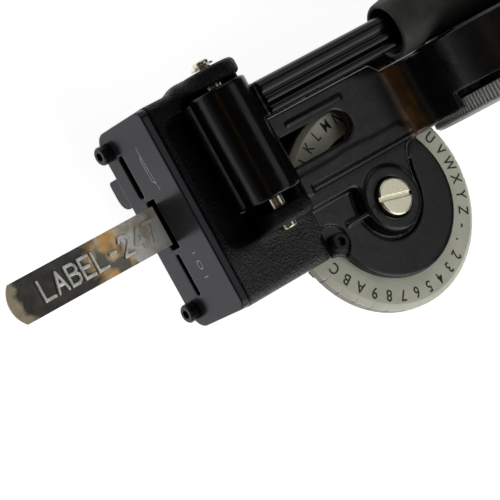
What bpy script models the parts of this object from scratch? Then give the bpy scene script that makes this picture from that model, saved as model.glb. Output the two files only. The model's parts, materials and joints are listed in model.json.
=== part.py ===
"""Hand embosser for 12 mm metal label tape, as an assembly of separate pieces.

Lengths are in millimetres until a mesh is finished, when it is scaled to metres. X runs to the rear from
the face of the front plate, Y to the side that the lever lies on, and Z up, square to the dial. At the
end everything moves forward, so that the origin lies under the middle of the base cover.
"""
import math

import bmesh
import bpy
from mathutils import Matrix, Vector

MM = 0.001
GAP = 0.3                    # between pieces that touch
BASE_MIDDLE_X = 70.0         # the base cover's middle, which becomes the origin

# Head
HEAD_TOP = 46.0
HEAD_HEIGHT = 27.3
HEAD_BOTTOM = HEAD_TOP - HEAD_HEIGHT
HEAD_LENGTH = 35.0
PLATE_HALF_WIDTH = 30.5
PLATE_THICK = 2.6
HEAD_HALF_WIDTH = 30.8
PLATE_SCREW_Y = 25.0
PLATE_SCREW_Z = HEAD_BOTTOM + 3.0

# Tape
TAPE_WIDTH = 12.0
TAPE_THICK = 0.4
TAPE_Z = 28.8                # mid plane of the strip
TAPE_FRONT = -53.8
CUT_SLOT_Y = (9.0, 22.5)
CUT_SLOT_Z = HEAD_BOTTOM + 7.6
PUNCH_SLOT_Y = (-22.0, -9.0)
PUNCH_SLOT_Z = HEAD_BOTTOM + 9.4

# Lever
PIVOT = (23.5, HEAD_TOP + 3.0)       # X, Z
LEVER_RISE = 7.0                     # degrees above level at rest
HUB_RADIUS = 9.0
HUB_Y = (-8.0, 26.0)
PIN_RADIUS = 2.4
EAR_RADIUS = 8.7
EARS_Y = ((27.0, 32.0), (-16.0, -11.0))
BAR_Y = (12.3, 22.6)
BAR_END = 205.0
GRIP_START = 56.5

# Ram and rocker under the lever
CAM_ROLLER = (30.0, 43.5)            # X, Z
CAM_RADIUS = 1.8
ROCKER_PIVOT = (44.0, 15.0)
ROCKER_HALF_WIDTH = 8.8

# Dial
DIAL_X = 61.3
DIAL_Y = -24.6
DIAL_RADIUS = 31.5
DIAL_TOP = HEAD_TOP - 5.6
LETTERS = 36
FINGER_RADIUS = 26.6
AXLE_RADIUS = 5.0
GUARD_RADIUS = 22.5
BOSS_RADIUS = 9.5

# Frame
FRAME_FRONT = HEAD_LENGTH + GAP
FRAME_RIGHT = -12.3
FRAME_LEFT = 11.9
FRAME_LEFT_REAR = 9.1
LAND_RIGHT = -16.5           # the deck's front part is wider
ARM_LEFT = 53.0              # the axle boss's arm, its front side
WALL_END = 76.0              # where the left wall steps in beside the grip
FRAME_REAR = 108.0
FRAME_FLOOR = 2.5
DECK_UNDER = 42.0
HANDLE_SCREWS_Y = (-8.2, 6.0)

# Tape drum
DRUM_X = 115.7
DRUM_Z = HEAD_TOP + 8.0
DRUM_RADIUS = 30.0
DRUM_BORE = 28.6
DRUM_Y = (-12.3, 9.0)
NOTCH_Y = -7.2
NOTCH_Z = DRUM_Z + 7.6
ROLL_RADIUS = DRUM_Z - TAPE_Z
WHEEL_RADIUS = 28.0
WHEEL_Y = (-15.1, -9.3)
ROLLERS_X = 94.0

MATERIALS = {
    "black_casting": ((0.012, 0.012, 0.013), 0.32, 0.0),
    "grey_plate": ((0.14, 0.13, 0.15), 0.42, 0.8),
    "steel": ((0.55, 0.55, 0.54), 0.32, 1.0),
    "nickel": ((0.74, 0.70, 0.60), 0.25, 1.0),
    "black_screw": ((0.02, 0.02, 0.02), 0.4, 0.9),
    "dial_plastic": ((0.43, 0.44, 0.37), 0.5, 0.0),
    "wheel_plastic": ((0.5, 0.5, 0.48), 0.5, 0.0),
    "rubber": ((0.025, 0.026, 0.025), 0.75, 0.0),
    "spring_steel": ((0.45, 0.44, 0.42), 0.35, 1.0),
    "tape_metal": ((0.30, 0.27, 0.23), 0.25, 1.0),
    "brass": ((0.70, 0.52, 0.25), 0.35, 1.0),
}


# Scene and materials

def clear_scene():
    for old in list(bpy.data.objects):
        bpy.data.objects.remove(old, do_unlink=True)


def material(slot):
    if slot in bpy.data.materials:
        return bpy.data.materials[slot]
    colour, rough, metal = MATERIALS[slot]
    made = bpy.data.materials.new(slot)
    made.use_nodes = True
    shader = made.node_tree.nodes["Principled BSDF"]
    shader.inputs["Base Color"].default_value = (*colour, 1.0)
    shader.inputs["Roughness"].default_value = rough
    shader.inputs["Metallic"].default_value = metal
    return made


# Outlines: lists of points, counter-clockwise

def arc(centre, radius, start, sweep, steps):
    """Points on a circle from an angle, both ends included, in degrees."""
    angles = [math.radians(start + sweep * i / steps) for i in range(steps + 1)]
    return [(centre[0] + radius * math.cos(a), centre[1] + radius * math.sin(a)) for a in angles]


def circle(centre, radius, steps=32):
    return arc(centre, radius, 0.0, 360.0, steps)[:-1]


def rounded(low, high, radii, steps=4):
    """A rectangle with a radius at each corner: low-low, high-low, high-high, low-high."""
    corners = ((low[0], low[1], 180), (high[0], low[1], 270), (high[0], high[1], 0), (low[0], high[1], 90))
    points = []
    for (a, b, start), radius in zip(corners, radii):
        centre = (a + radius if a == low[0] else a - radius, b + radius if b == low[1] else b - radius)
        points += arc(centre, radius, start, 90, steps)
    return points


def star(radius, root, count, tooth=0.55, turn=0.0):
    """Fingers of one radius that stand on a root circle, each filling a share of its pitch."""
    pitch = 360.0 / count
    points = []
    for i in range(count):
        middle = turn + i * pitch
        half = 0.5 * tooth * pitch
        for angle, reach in ((-half, root), (-half * 0.9, radius), (half * 0.9, radius), (half, root)):
            turned_to = math.radians(middle + angle)
            points.append((DIAL_X + reach * math.cos(turned_to), DIAL_Y + reach * math.sin(turned_to)))
    return points


# Solids, each a bmesh in millimetres

AXES = {
    "X": lambda a, b, c: (c, a, b),
    "Y": lambda a, b, c: (a, c, b),
    "Z": lambda a, b, c: (a, b, c),
}


def prism(outline, low, high, axis="Z"):
    """An outline carried straight along an axis. It holds (Y, Z), (X, Z) or (X, Y)."""
    bm = bmesh.new()
    place = AXES[axis]
    face = bm.faces.new([bm.verts.new(place(a, b, low)) for a, b in outline])
    grown = bmesh.ops.extrude_face_region(bm, geom=[face])
    top = [item for item in grown["geom"] if isinstance(item, bmesh.types.BMVert)]
    bmesh.ops.translate(bm, verts=top, vec=Vector(place(0.0, 0.0, high - low)))
    bmesh.ops.recalc_face_normals(bm, faces=bm.faces)
    return bm


def box(x0, x1, y0, y1, z0, z1):
    return prism([(x0, y0), (x1, y0), (x1, y1), (x0, y1)], z0, z1)


def rod(centre, radius, low, high, axis="Z", steps=32):
    return prism(circle(centre, radius, steps), low, high, axis)


def turned(profile, centre, axis="Z", steps=32):
    """A closed profile of (radius, height) spun once about an axis through centre."""
    bm = bmesh.new()
    place = AXES[axis]
    loop = [bm.verts.new(place(centre[0] + r, centre[1], h)) for r, h in profile]
    edges = [bm.edges.new((loop[i], loop[(i + 1) % len(loop)])) for i in range(len(loop))]
    spin_axis = Vector(place(0.0, 0.0, 1.0))
    bmesh.ops.spin(bm, geom=loop + edges, cent=Vector(place(centre[0], centre[1], 0.0)), axis=spin_axis,
                   dvec=Vector(), angle=2 * math.pi, steps=steps, use_merge=True, use_duplicate=False)
    bmesh.ops.remove_doubles(bm, verts=bm.verts, dist=0.0005)
    bmesh.ops.recalc_face_normals(bm, faces=bm.faces)
    return bm


def loft(stations, steps=22, power=2.4, grow=0.0):
    """Superellipse sections across X, bridged in turn: X, middle Y, middle Z, half width, half height."""
    bm = bmesh.new()
    rings = []
    for x, y, z, half_y, half_z in stations:
        ring = []
        for i in range(steps):
            angle = 2 * math.pi * i / steps
            c, s = math.cos(angle), math.sin(angle)
            side = math.copysign(abs(c) ** (2 / power), c) * (half_y + grow)
            lift = math.copysign(abs(s) ** (2 / power), s) * (half_z + grow)
            ring.append(bm.verts.new((x, y + side, z + lift)))
        rings.append([bm.edges.new((ring[i], ring[(i + 1) % steps])) for i in range(steps)])
        if len(rings) > 1:
            bmesh.ops.bridge_loops(bm, edges=rings[-2] + rings[-1])
    bmesh.ops.holes_fill(bm, edges=rings[0] + rings[-1])
    bmesh.ops.recalc_face_normals(bm, faces=bm.faces)
    return bm


def coil(centre, radius, wire, low, high, turns, steps=12):
    """A round wire on a helix about Z: its turns run from low to high, measured at the wire's outside."""
    bm = bmesh.new()
    count = int(turns * steps)
    rise = (high - low - 2 * wire) / count
    rings = []
    for i in range(count + 1):
        angle = 2 * math.pi * i / steps
        out = Vector((math.cos(angle), math.sin(angle), 0.0))
        middle = Vector((centre[0], centre[1], low + wire + rise * i)) + out * radius
        ring = []
        for k in range(5):
            around = 2 * math.pi * k / 5
            ring.append(bm.verts.new(middle + wire * (out * math.cos(around) + Vector((0, 0, math.sin(around))))))
        rings.append([bm.edges.new((ring[k], ring[(k + 1) % 5])) for k in range(5)])
        if len(rings) > 1:
            bmesh.ops.bridge_loops(bm, edges=rings[-2] + rings[-1])
    bmesh.ops.holes_fill(bm, edges=rings[0] + rings[-1])
    bmesh.ops.recalc_face_normals(bm, faces=bm.faces)
    return bm


def tilted(bm):
    """The lever's own straight frame, with its pivot at zero, put at the pivot and raised to rest."""
    turn = Matrix.Rotation(math.radians(-LEVER_RISE), 4, "Y")
    bm.transform(Matrix.Translation((PIVOT[0], 0.0, PIVOT[1])) @ turn)
    return bm


# Objects

def make_object(name, bm):
    bm.transform(Matrix.Scale(MM, 4))
    mesh = bpy.data.meshes.new(name)
    bm.to_mesh(mesh)
    bm.free()
    made = bpy.data.objects.new(name, mesh)
    bpy.context.scene.collection.objects.link(made)
    return made


def combine(target, solids, operation):
    """Join solids to a piece, or cut them from it, with one exact Boolean each."""
    for solid in solids:
        helper = make_object(f"{target.name}_{operation.lower()}", solid)
        helper.hide_render = True
        helper.hide_viewport = False
        helper.display_type = "WIRE"
        change = target.modifiers.new(operation.title(), "BOOLEAN")
        change.operation = operation
        change.solver = "EXACT"
        change.object = helper


def node(name, slot, solid, add=(), cut=()):
    """One piece of the assembly: a solid, with others joined to it and then cut from it."""
    made = make_object(name, solid)
    combine(made, add, "UNION")
    combine(made, cut, "DIFFERENCE")
    made.data.materials.append(material(slot))
    made.data.shade_smooth()
    made.data.set_sharp_from_angle(angle=math.radians(35))
    return made


def on_axis(name, place, pieces):
    """An empty on a joint's axis, which carries the pieces that move about it or along it."""
    empty = bpy.data.objects.new(name, None)
    empty.location = Vector(place) * MM
    bpy.context.scene.collection.objects.link(empty)
    for piece in pieces:
        piece.parent = empty
        piece.matrix_parent_inverse = Matrix.Translation(-empty.location)


def cap_screw(name, place, shank, axis="Z", facing=1.0, radius=2.75, head=2.7, slot="black_screw"):
    """A socket cap screw. Its head stands on a plane at place[2], and its shank runs back by shank."""
    middle, seat = place[:2], place[2] + facing * GAP
    profile = [(0.0, seat - facing * (shank + GAP)), (1.5, seat - facing * (shank + GAP)), (1.5, seat),
               (radius, seat), (radius, seat + facing * (head - 0.4)), (radius - 0.4, seat + facing * head),
               (0.0, seat + facing * head)]
    tip = seat + facing * (head + 1.0)
    socket = prism(circle(middle, 1.45, 6), *sorted((seat + facing * (head - 1.5), tip)), axis)
    return node(name, slot, turned(profile, middle, axis, 12), cut=[socket])


# Head

def build_head():
    plate = rounded((-PLATE_HALF_WIDTH, HEAD_BOTTOM), (PLATE_HALF_WIDTH, HEAD_TOP), (5.0, 5.0, 2.5, 2.5))
    t_slot = [(-7.4, -1.9), (-5.6, -1.9), (-5.6, -0.8), (5.6, -0.8), (5.6, -1.9), (7.4, -1.9),
              (7.4, 1.9), (5.6, 1.9), (5.6, 0.8), (-5.6, 0.8), (-5.6, 1.9), (-7.4, 1.9)]
    exit_slot = [(y, TAPE_Z + z) for y, z in t_slot]
    cut_slot = rounded((CUT_SLOT_Y[0], CUT_SLOT_Z - 0.65), (CUT_SLOT_Y[1], CUT_SLOT_Z + 0.65), [0.6] * 4)
    punch_slot = rounded((PUNCH_SLOT_Y[0], PUNCH_SLOT_Z - 0.5), (PUNCH_SLOT_Y[1], PUNCH_SLOT_Z + 0.5), [0.45] * 4)
    cuts = [prism(outline, -1.0, 5.0, "X") for outline in (exit_slot, cut_slot, punch_slot)]
    cuts += [rod((y, PLATE_SCREW_Z), 1.7, -1.0, 5.0, "X", 12) for y in (-PLATE_SCREW_Y, PLATE_SCREW_Y)]
    node("front_plate", "grey_plate", prism(plate, 0.0, PLATE_THICK, "X"), cut=cuts)

    body = rounded((-HEAD_HALF_WIDTH, HEAD_BOTTOM + 0.2), (HEAD_HALF_WIDTH, HEAD_TOP - 0.2), (5.0, 5.0, 3.0, 3.0))
    ears = []
    for low, high in EARS_Y:
        ears.append(rod(PIVOT, EAR_RADIUS, low, high, "Y", 28))
        ears.append(box(PIVOT[0] - EAR_RADIUS, PIVOT[0] + EAR_RADIUS, low + 0.01, high - 0.01, 40.0, PIVOT[1]))
    cuts = [
        rod(PIVOT, HUB_RADIUS + 1.2, -9.0, 26.6, "Y", 32),
        rod(PIVOT, HUB_RADIUS + 1.9, -3.0, 13.0, "Y", 32),
        rod(PIVOT, PIN_RADIUS + 0.1, -20.0, 36.0, "Y", 20),
        box(6.5, 16.0, -15.2, 24.5, 40.4, 50.0),
        box(5.5, 31.8, -27.6, 27.6, 30.0, 38.2),
        box(17.0, 31.8, -8.0, 25.6, 38.0, 43.0),
        box(5.5, 31.8, -22.9, 22.9, 20.6, 30.5),
        box(4.2, 33.2, -24.5, 24.5, 18.0, 20.9),
        box(2.0, 6.0, -23.0, 23.0, 25.0, 31.2),
        box(31.0, 36.0, -9.4, 9.4, 18.0, 31.5),
        box(30.0, 36.0, 11.4, 23.6, 43.0, 50.0),
        rod((DIAL_X, DIAL_Y), DIAL_RADIUS + 0.9, 22.5, DIAL_TOP + 1.2, steps=48),
    ]
    for side in (-1, 1):
        cuts.append(rod((side * PLATE_SCREW_Y, PLATE_SCREW_Z), 1.65, 2.0, 10.5, "X", 12))
        cuts.append(rod((14.0, side * 25.3), 2.9, 23.0, 30.5, steps=16))
        cuts.append(rod((27.0, side * 26.8), 1.65, 18.0, 25.0, steps=12))
    node("head_block", "black_casting", prism(body, PLATE_THICK + GAP, HEAD_LENGTH, "X"), add=ears, cut=cuts)

    die_screws = ((14.0, -18.0), (10.0, 19.0))
    cover_holes = [rod(place, 1.7, 15.0, 22.0, steps=12) for place in die_screws]
    node("head_cover", "grey_plate", box(4.6, 32.8, -24.1, 24.1, 19.0, 20.5), cut=cover_holes + [
        box(25.0, 34.0, -9.2, 9.2, 18.0, 22.0)])
    for index, place in enumerate(die_screws):
        cap_screw(f"cover_screw_{index + 1}", (*place, 19.0), 4.6, facing=-1.0, radius=2.4, head=1.6)
    for index, y in enumerate((-PLATE_SCREW_Y, PLATE_SCREW_Y)):
        cap_screw(f"plate_screw_{index + 1}", (y, PLATE_SCREW_Z, 0.0), 9.6, "X", facing=-1.0)
    node("cutter_die", "steel", box(5.8, 12.6, 8.4, 22.4, 21.3, 25.4),
         cut=[box(5.0, 8.2, 8.0, 23.0, 24.6, 26.0), rod(die_screws[1], 1.7, 20.0, 24.2, steps=12)])
    node("punch_die", "steel", box(7.0, 17.0, -20.5, -10.5, 21.3, 27.3),
         cut=[rod((12.0, -13.5), 1.8, 20.0, 28.0, steps=20), rod(die_screws[0], 1.7, 20.0, 24.5, steps=12)])


def build_selector():
    lip = rounded((8.3, 13.1), (17.6, HEAD_BOTTOM - 0.25), (3.6, 1.2, 0.3, 0.3))
    tab = node("selector_tab", "grey_plate", prism(lip, 0.6, 2.8, "X"),
               add=[box(2.0, 17.0, 10.0, 16.4, 17.2, HEAD_BOTTOM - 0.25)])
    on_axis("selector_axis", (1.7, 13.0, 17.0), [tab])


# Lever, ram and rocker

def bar_outline():
    """The bar's section: a flat underside and three rounded ridges along its top."""
    ridge, gap = 1.25, 2.7
    middle = 0.5 * (BAR_Y[0] + BAR_Y[1])
    points = arc((BAR_Y[0] + 1.4, -2.6), 1.4, 180, 90, 3) + arc((BAR_Y[1] - 1.4, -2.6), 1.4, 270, 90, 3)
    points += [(BAR_Y[1], 2.2), (BAR_Y[1] - 0.5, 2.7)]
    for step in (1, 0, -1):
        points += arc((middle + step * gap, 2.7), ridge, 0, 180, 6)
    return points + [(BAR_Y[0] + 0.5, 2.7), (BAR_Y[0], 2.2)]


def build_lever():
    bar = tilted(prism(bar_outline(), 3.0, BAR_END, "X"))
    arm = node("lever_arm", "black_casting", rod(PIVOT, HUB_RADIUS, *HUB_Y, "Y", 36), add=[bar],
               cut=[rod(PIVOT, PIN_RADIUS + 0.1, -10.0, 28.0, "Y", 24),
                    rod(CAM_ROLLER, CAM_RADIUS + 0.3, -2.4, 12.1, "Y", 20)])
    sleeve = [(GRIP_START, 17.6, 0.0, 7.8, 7.8), (GRIP_START + 1.2, 17.9, 0.0, 8.3, 8.3),
              (66.0, 18.8, 0.0, 9.2, 9.0), (80.0, 19.9, 0.0, 10.3, 10.0), (110.0, 20.5, 0.0, 10.9, 10.6),
              (165.0, 20.2, 0.0, 10.6, 10.3), (198.0, 20.2, 0.0, 11.2, 10.6), (209.0, 20.0, 0.0, 10.4, 9.8),
              (213.0, 19.9, 0.0, 7.6, 7.2)]
    bore = rounded((BAR_Y[0] - 0.4, -4.5), (BAR_Y[1] + 0.4, 4.4), [1.2] * 4, 3)
    grip = node("lever_grip", "rubber", tilted(loft(sleeve)),
                cut=[tilted(prism(bore, GRIP_START - 2.0, BAR_END + 0.6, "X")),
                     tilted(rod((17.6, 0.0), 6.4, GRIP_START - 2.0, GRIP_START + 6.0, "X", 22))])
    cam = node("cam_roller", "steel", rod(CAM_ROLLER, CAM_RADIUS, -2.0, 11.7, "Y", 20))
    on_axis("lever_axis", (PIVOT[0], 9.0, PIVOT[1]), [arm, grip, cam])
    node("pivot_pin", "nickel", turned([(0.0, -17.5), (2.0, -17.5), (PIN_RADIUS, -17.0), (PIN_RADIUS, 32.6),
                                        (1.8, 32.6), (1.8, 33.4), (PIN_RADIUS, 33.4), (PIN_RADIUS, 34.2),
                                        (2.0, 34.6), (0.0, 34.6)], PIVOT, "Y", 18))
    clip = arc(PIVOT, 3.5, 40, 280, 14) + arc(PIVOT, 2.1, 320, -280, 14)
    node("pivot_clip", "nickel", prism(clip, 32.75, 33.25, "Y"))


def build_ram():
    outline = [(6.5, -27.2), (28.5, -27.2), (28.5, -9.0), (31.5, -9.0), (31.5, 14.0), (28.5, 14.0),
               (28.5, 27.2), (6.5, 27.2)]
    legs = [box(27.0, 31.0, *sorted((side * 7.0, side * 8.7)), 24.4, 33.0) for side in (-1, 1)]
    ram = node("press_ram", "steel", prism(outline, 31.6, 36.5), add=legs + [
        box(29.0, 31.4, -2.2, 11.8, 36.0, CAM_ROLLER[1] - CAM_RADIUS - GAP)])
    edge = [(6.4, 31.2), (6.4, 27.8), (8.0, 27.2), (8.0, 31.2)]
    blade = node("cutter_blade", "steel", prism(edge, CUT_SLOT_Y[0] - 0.3, CUT_SLOT_Y[1] - 0.3, "Y"))
    punch = node("hole_punch", "steel", rod((12.0, -13.5), 1.6, 28.9, 31.2, steps=20))
    on_axis("ram_axis", (17.0, 0.0, 34.0), [ram, blade, punch])
    for index, side in enumerate((-1, 1)):
        node(f"ram_spring_{index + 1}", "spring_steel", coil((14.0, side * 25.3), 2.0, 0.35, 23.3, 31.3, 4, 8))


def build_rocker():
    px, pz = ROCKER_PIVOT
    side = [(26.5, 22.0), (33.0, 20.6), (38.0, 12.0)] + arc((px, pz), 5.0, 210, 120, 8) + [
        (50.0, 11.2), (64.5, 12.0), (64.5, 15.2), (56.0, 15.2), (48.4, 17.4)] + arc((px, pz), 5.0, 30, 100, 6) + [
        (38.0, 21.6), (34.0, 24.0), (26.5, 24.0)]
    rocker = node("press_rocker", "steel", prism(side, -ROCKER_HALF_WIDTH, ROCKER_HALF_WIDTH, "Y"),
                  cut=[rod((px, pz), 2.1, -12.0, 12.0, "Y", 24)])
    on_axis("rocker_axis", (px, 0.0, pz), [rocker])
    node("rocker_pin", "steel", rod((px, pz), 2.0, FRAME_RIGHT, FRAME_LEFT, "Y", 24))
    hammer = node("emboss_hammer", "steel", turned([(0.0, 15.5), (2.5, 15.5), (2.5, 21.2), (1.9, 21.8),
                                                   (0.0, 21.8)], (DIAL_X, 0.0), steps=24))
    on_axis("hammer_axis", (DIAL_X, 0.0, 18.0), [hammer])
    node("hammer_guide", "brass", box(56.0, 66.0, -9.7, 8.2, 17.0, 20.2),
         cut=[rod((DIAL_X, 0.0), 2.6, 15.0, 22.0, steps=24)])


# Dial

def build_dial():
    rim = DIAL_RADIUS
    ring = node("dial_ring", "dial_plastic", turned(
        [(8.8, 36.0), (21.0, 36.0), (21.0, 33.0), (rim - 0.5, 33.0), (rim, 33.5), (rim, DIAL_TOP - 1.5),
         (rim - 2.0, DIAL_TOP), (8.8, DIAL_TOP)], (DIAL_X, DIAL_Y), steps=60))
    punches = node("punch_disc", "spring_steel", prism(star(FINGER_RADIUS, 17.0, LETTERS, turn=90.0), 30.3, 32.6),
                   cut=[rod((DIAL_X, DIAL_Y), 8.8, 29.0, 34.0)])
    dies = node("die_disc", "spring_steel", prism(star(FINGER_RADIUS, 17.0, LETTERS, turn=90.0), 24.2, 27.0),
                cut=[rod((DIAL_X, DIAL_Y), 8.8, 23.0, 28.0)])
    hub = node("dial_hub", "brass", turned([(5.2, 23.2), (8.5, 23.2), (8.5, DIAL_TOP), (5.2, DIAL_TOP)],
                                           (DIAL_X, DIAL_Y), steps=24))
    on_axis("dial_axis", (DIAL_X, DIAL_Y, DIAL_TOP), [ring, punches, dies, hub])
    slot = box(DIAL_X - 8.0, DIAL_X + 8.0, DIAL_Y - 0.7, DIAL_Y + 0.7, 46.4, 50.0)
    slot.transform(Matrix.Translation((DIAL_X, DIAL_Y, 0.0)) @ Matrix.Rotation(math.radians(-13), 4, "Z")
                   @ Matrix.Translation((-DIAL_X, -DIAL_Y, 0.0)))
    node("dial_axle", "nickel", turned([(0.0, 13.0), (AXLE_RADIUS, 13.0), (AXLE_RADIUS, 44.8), (5.6, 44.8),
                                        (5.6, 47.1), (5.1, 47.6), (0.0, 47.6)], (DIAL_X, DIAL_Y), steps=24),
         cut=[slot])
    detent = (DIAL_X - 13.0, DIAL_Y)
    ball = arc((0.0, 22.2), 1.5, -90, 180, 6)
    node("detent_ball", "steel", turned([(max(r, 0.0), h) for r, h in ball], detent, steps=12))
    node("detent_spring", "spring_steel", coil(detent, 1.15, 0.25, 15.4, 20.4, 4, 8))


# Frame, base and handle

def fillet_outline():
    """The hollow curve from the deck up to the drum, one arc that is tangent to both."""
    start = 77.5
    reach = DRUM_X - start
    rise = DRUM_Z - HEAD_TOP
    radius = (reach ** 2 + rise ** 2 - DRUM_RADIUS ** 2) / (2 * (DRUM_RADIUS + rise))
    centre = (start, HEAD_TOP + radius)
    end = math.degrees(math.atan2(DRUM_Z - centre[1], DRUM_X - start))
    return arc(centre, radius, -90, end + 90, 10) + [(96.0, DRUM_Z), (96.0, 42.5), (start - 2.0, 42.5),
                                                     (start - 2.0, HEAD_TOP)]


def build_frame():
    axle = (DIAL_X, DIAL_Y)
    step = [(WALL_END + 2.5, FRAME_LEFT_REAR), (WALL_END, FRAME_LEFT), (FRAME_FRONT, FRAME_LEFT)]
    left_wall = [(FRAME_FRONT, 9.6), (WALL_END - 2.0, 9.6), (WALL_END, 7.1), (FRAME_REAR, 7.1),
                 (FRAME_REAR, FRAME_LEFT_REAR)] + step
    deck = [(FRAME_FRONT, FRAME_RIGHT), (92.0, FRAME_RIGHT), (92.0, FRAME_LEFT_REAR)] + step
    shoulder = [(FRAME_FRONT, -31.5), (39.0, -31.5), (43.0, -33.5), (48.0, -39.0), (DIAL_X, DIAL_Y),
                (84.0, -13.0), (84.0, -11.0), (FRAME_FRONT, -11.0)]
    arm = [(FRAME_FRONT, -11.0), (FRAME_FRONT, LAND_RIGHT)] + arc(
        (ARM_LEFT - 3.0, LAND_RIGHT - 3.0), 3.0, 90, -90, 4) + [(ARM_LEFT, DIAL_Y), (DIAL_X + 9.5, DIAL_Y)] + arc(
        (78.5, FRAME_RIGHT - 4.5), 4.5, 165, -75, 4) + [(78.5, -11.0)]
    lower_arm = arc(axle, 9.0, 180, 180, 12) + [(70.0, -10.2), (44.5, -10.2), (44.5, -29.6)]
    cutaway = DIAL_TOP + 0.7
    parts = [
        prism(left_wall, FRAME_FLOOR, DECK_UNDER + 0.5),
        box(FRAME_FRONT, FRAME_REAR, FRAME_RIGHT, -10.0, FRAME_FLOOR, DECK_UNDER + 0.5),
        rod(axle, GUARD_RADIUS, cutaway, 43.2, steps=48),
        prism(shoulder, cutaway + 0.05, 43.0),
        prism(arm, cutaway + 0.1, 45.8),
        rod(axle, BOSS_RADIUS, cutaway + 0.15, 46.1, steps=28),
        prism(lower_arm, 14.0, 22.6),
        box(100.0, FRAME_REAR, FRAME_RIGHT + 0.02, FRAME_LEFT_REAR - 0.02, FRAME_FLOOR + 0.02, 30.0),
        prism(fillet_outline(), FRAME_RIGHT + 0.03, FRAME_LEFT_REAR - 0.03, "Y"),
        rod((DRUM_X, DRUM_Z), DRUM_RADIUS, *DRUM_Y, "Y", 56),
        box(22.0, 44.0, -29.8, -10.2, 14.8, 18.5),
        box(22.0, 44.0, 9.8, 29.8, 14.8, 18.5),
    ]
    bores = [(42.0, -6.9), (42.0, 6.9), (96.0, -6.9), (96.0, 4.0)]
    parts += [rod(place, 3.6, FRAME_FLOOR + 0.03, 9.0, steps=14) for place in bores]
    window = rounded((FRAME_FRONT + 1.1, -3.7), (61.0, 5.4), (0.6, 4.5, 4.5, 0.6), 6)
    cuts = [
        prism(window, 40.0, 50.0),
        box(34.0, 90.9, -14.0, -9.0, 23.0, cutaway),
        rod(axle, 5.2, 10.0, 50.0, steps=24),
        rod(axle, 6.1, 44.5, 50.0, steps=24),
        rod((DIAL_X - 13.0, DIAL_Y), 1.8, 15.0, 24.0, steps=14),
        rod(ROCKER_PIVOT, 2.15, -14.0, 14.0, "Y", 16),
        rod((DRUM_X, DRUM_Z), DRUM_BORE, -14.0, 6.6, "Y", 56),
        rod((DRUM_X, DRUM_Z), 4.25, 5.0, 10.0, "Y", 20),
        box(80.0, 150.0, -14.0, NOTCH_Y, NOTCH_Z, 90.0),
        box(86.0, 104.0, -9.0, 7.05, 21.5, 40.0),
        box(FRAME_FRONT - 1.0, 46.0, -14.0, -9.5, 19.2, 42.0),
        rod((38.4, -28.0), 1.7, 30.0, 50.0, steps=12),
    ]
    cuts += [rod((ROLLERS_X, z), 1.65, -14.0, 10.0, "Y", 12) for z in (23.8, 32.5)]
    cuts += [rod(place, 1.65, 0.0, 8.0, steps=10) for place in bores]
    cuts += [rod((27.0, side * 26.8), 1.7, 10.0, 20.0, steps=12) for side in (-1, 1)]
    cuts += [rod((y, 13.0), 1.65, 101.0, 110.0, "X", 10) for y in HANDLE_SCREWS_Y]
    node("main_frame", "black_casting", prism(deck, DECK_UNDER, HEAD_TOP), add=parts, cut=cuts)

    cap_screw("frame_screw", (38.4, -28.0, 43.0), 2.6)
    for index, side in enumerate((-1, 1)):
        cap_screw(f"tongue_screw_{index + 1}", (27.0, side * 26.8, 14.8), 9.0, facing=-1.0, head=2.4)
    cover_cuts = []
    for x, y in bores:
        cover_cuts += [rod((x, y), 3.0, -1.0, 1.5, steps=12), rod((x, y), 1.7, 1.0, 4.0, steps=12)]
    cover = rounded((38.0, -19.0), (102.0, 19.0), [4.0] * 4, 5)
    node("base_cover", "black_casting", prism(cover, 0.0, FRAME_FLOOR - GAP), cut=cover_cuts)
    for index, (x, y) in enumerate(bores):
        cap_screw(f"base_screw_{index + 1}", (x, y, 1.5), 5.5, facing=-1.0, radius=2.6, head=0.9)


def build_handle():
    root = prism(rounded((-10.5, 4.0), (7.8, 22.0), [2.5] * 4), FRAME_REAR + GAP, 112.0, "X")
    stations = [(110.5, -2.2, 13.0, 4.0, 6.0), (116.0, -0.4, 12.4, 4.0, 6.0), (124.0, 6.0, 11.4, 4.2, 5.6),
                (132.0, 12.6, 10.7, 4.2, 5.4), (142.0, 16.2, 10.4, 4.2, 5.2), (156.0, 17.4, 10.4, 4.2, 5.0),
                (228.0, 17.4, 10.4, 4.2, 5.0)]
    holes = [rod((y, 13.0), 1.7, 107.0, 114.0, "X", 10) for y in HANDLE_SCREWS_Y]
    node("fixed_handle", "black_casting", loft(stations, 20, 3.2), add=[root], cut=holes)
    for index, y in enumerate(HANDLE_SCREWS_Y):
        cap_screw(f"handle_screw_{index + 1}", (y, 13.0, 112.0), 9.5, "X", radius=1.9, head=2.0)
    sleeve = [(134.0, 13.4, 10.4, 7.2, 8.2), (136.5, 14.6, 10.4, 8.4, 9.4), (146.0, 16.8, 10.4, 9.4, 10.2),
              (160.0, 17.6, 10.4, 9.6, 10.4), (195.0, 17.6, 10.4, 9.0, 10.0), (222.0, 17.6, 10.4, 9.8, 10.4),
              (233.0, 17.6, 10.4, 8.6, 9.2), (236.5, 17.6, 10.4, 5.8, 6.2)]
    end = stations[-1]
    bore = stations[:-1] + [(end[0] + 0.6, *end[1:])]
    node("fixed_grip", "rubber", loft(sleeve), cut=[loft(bore, 20, 3.2, grow=0.4)])


# Tape, rollers and spool

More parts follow.
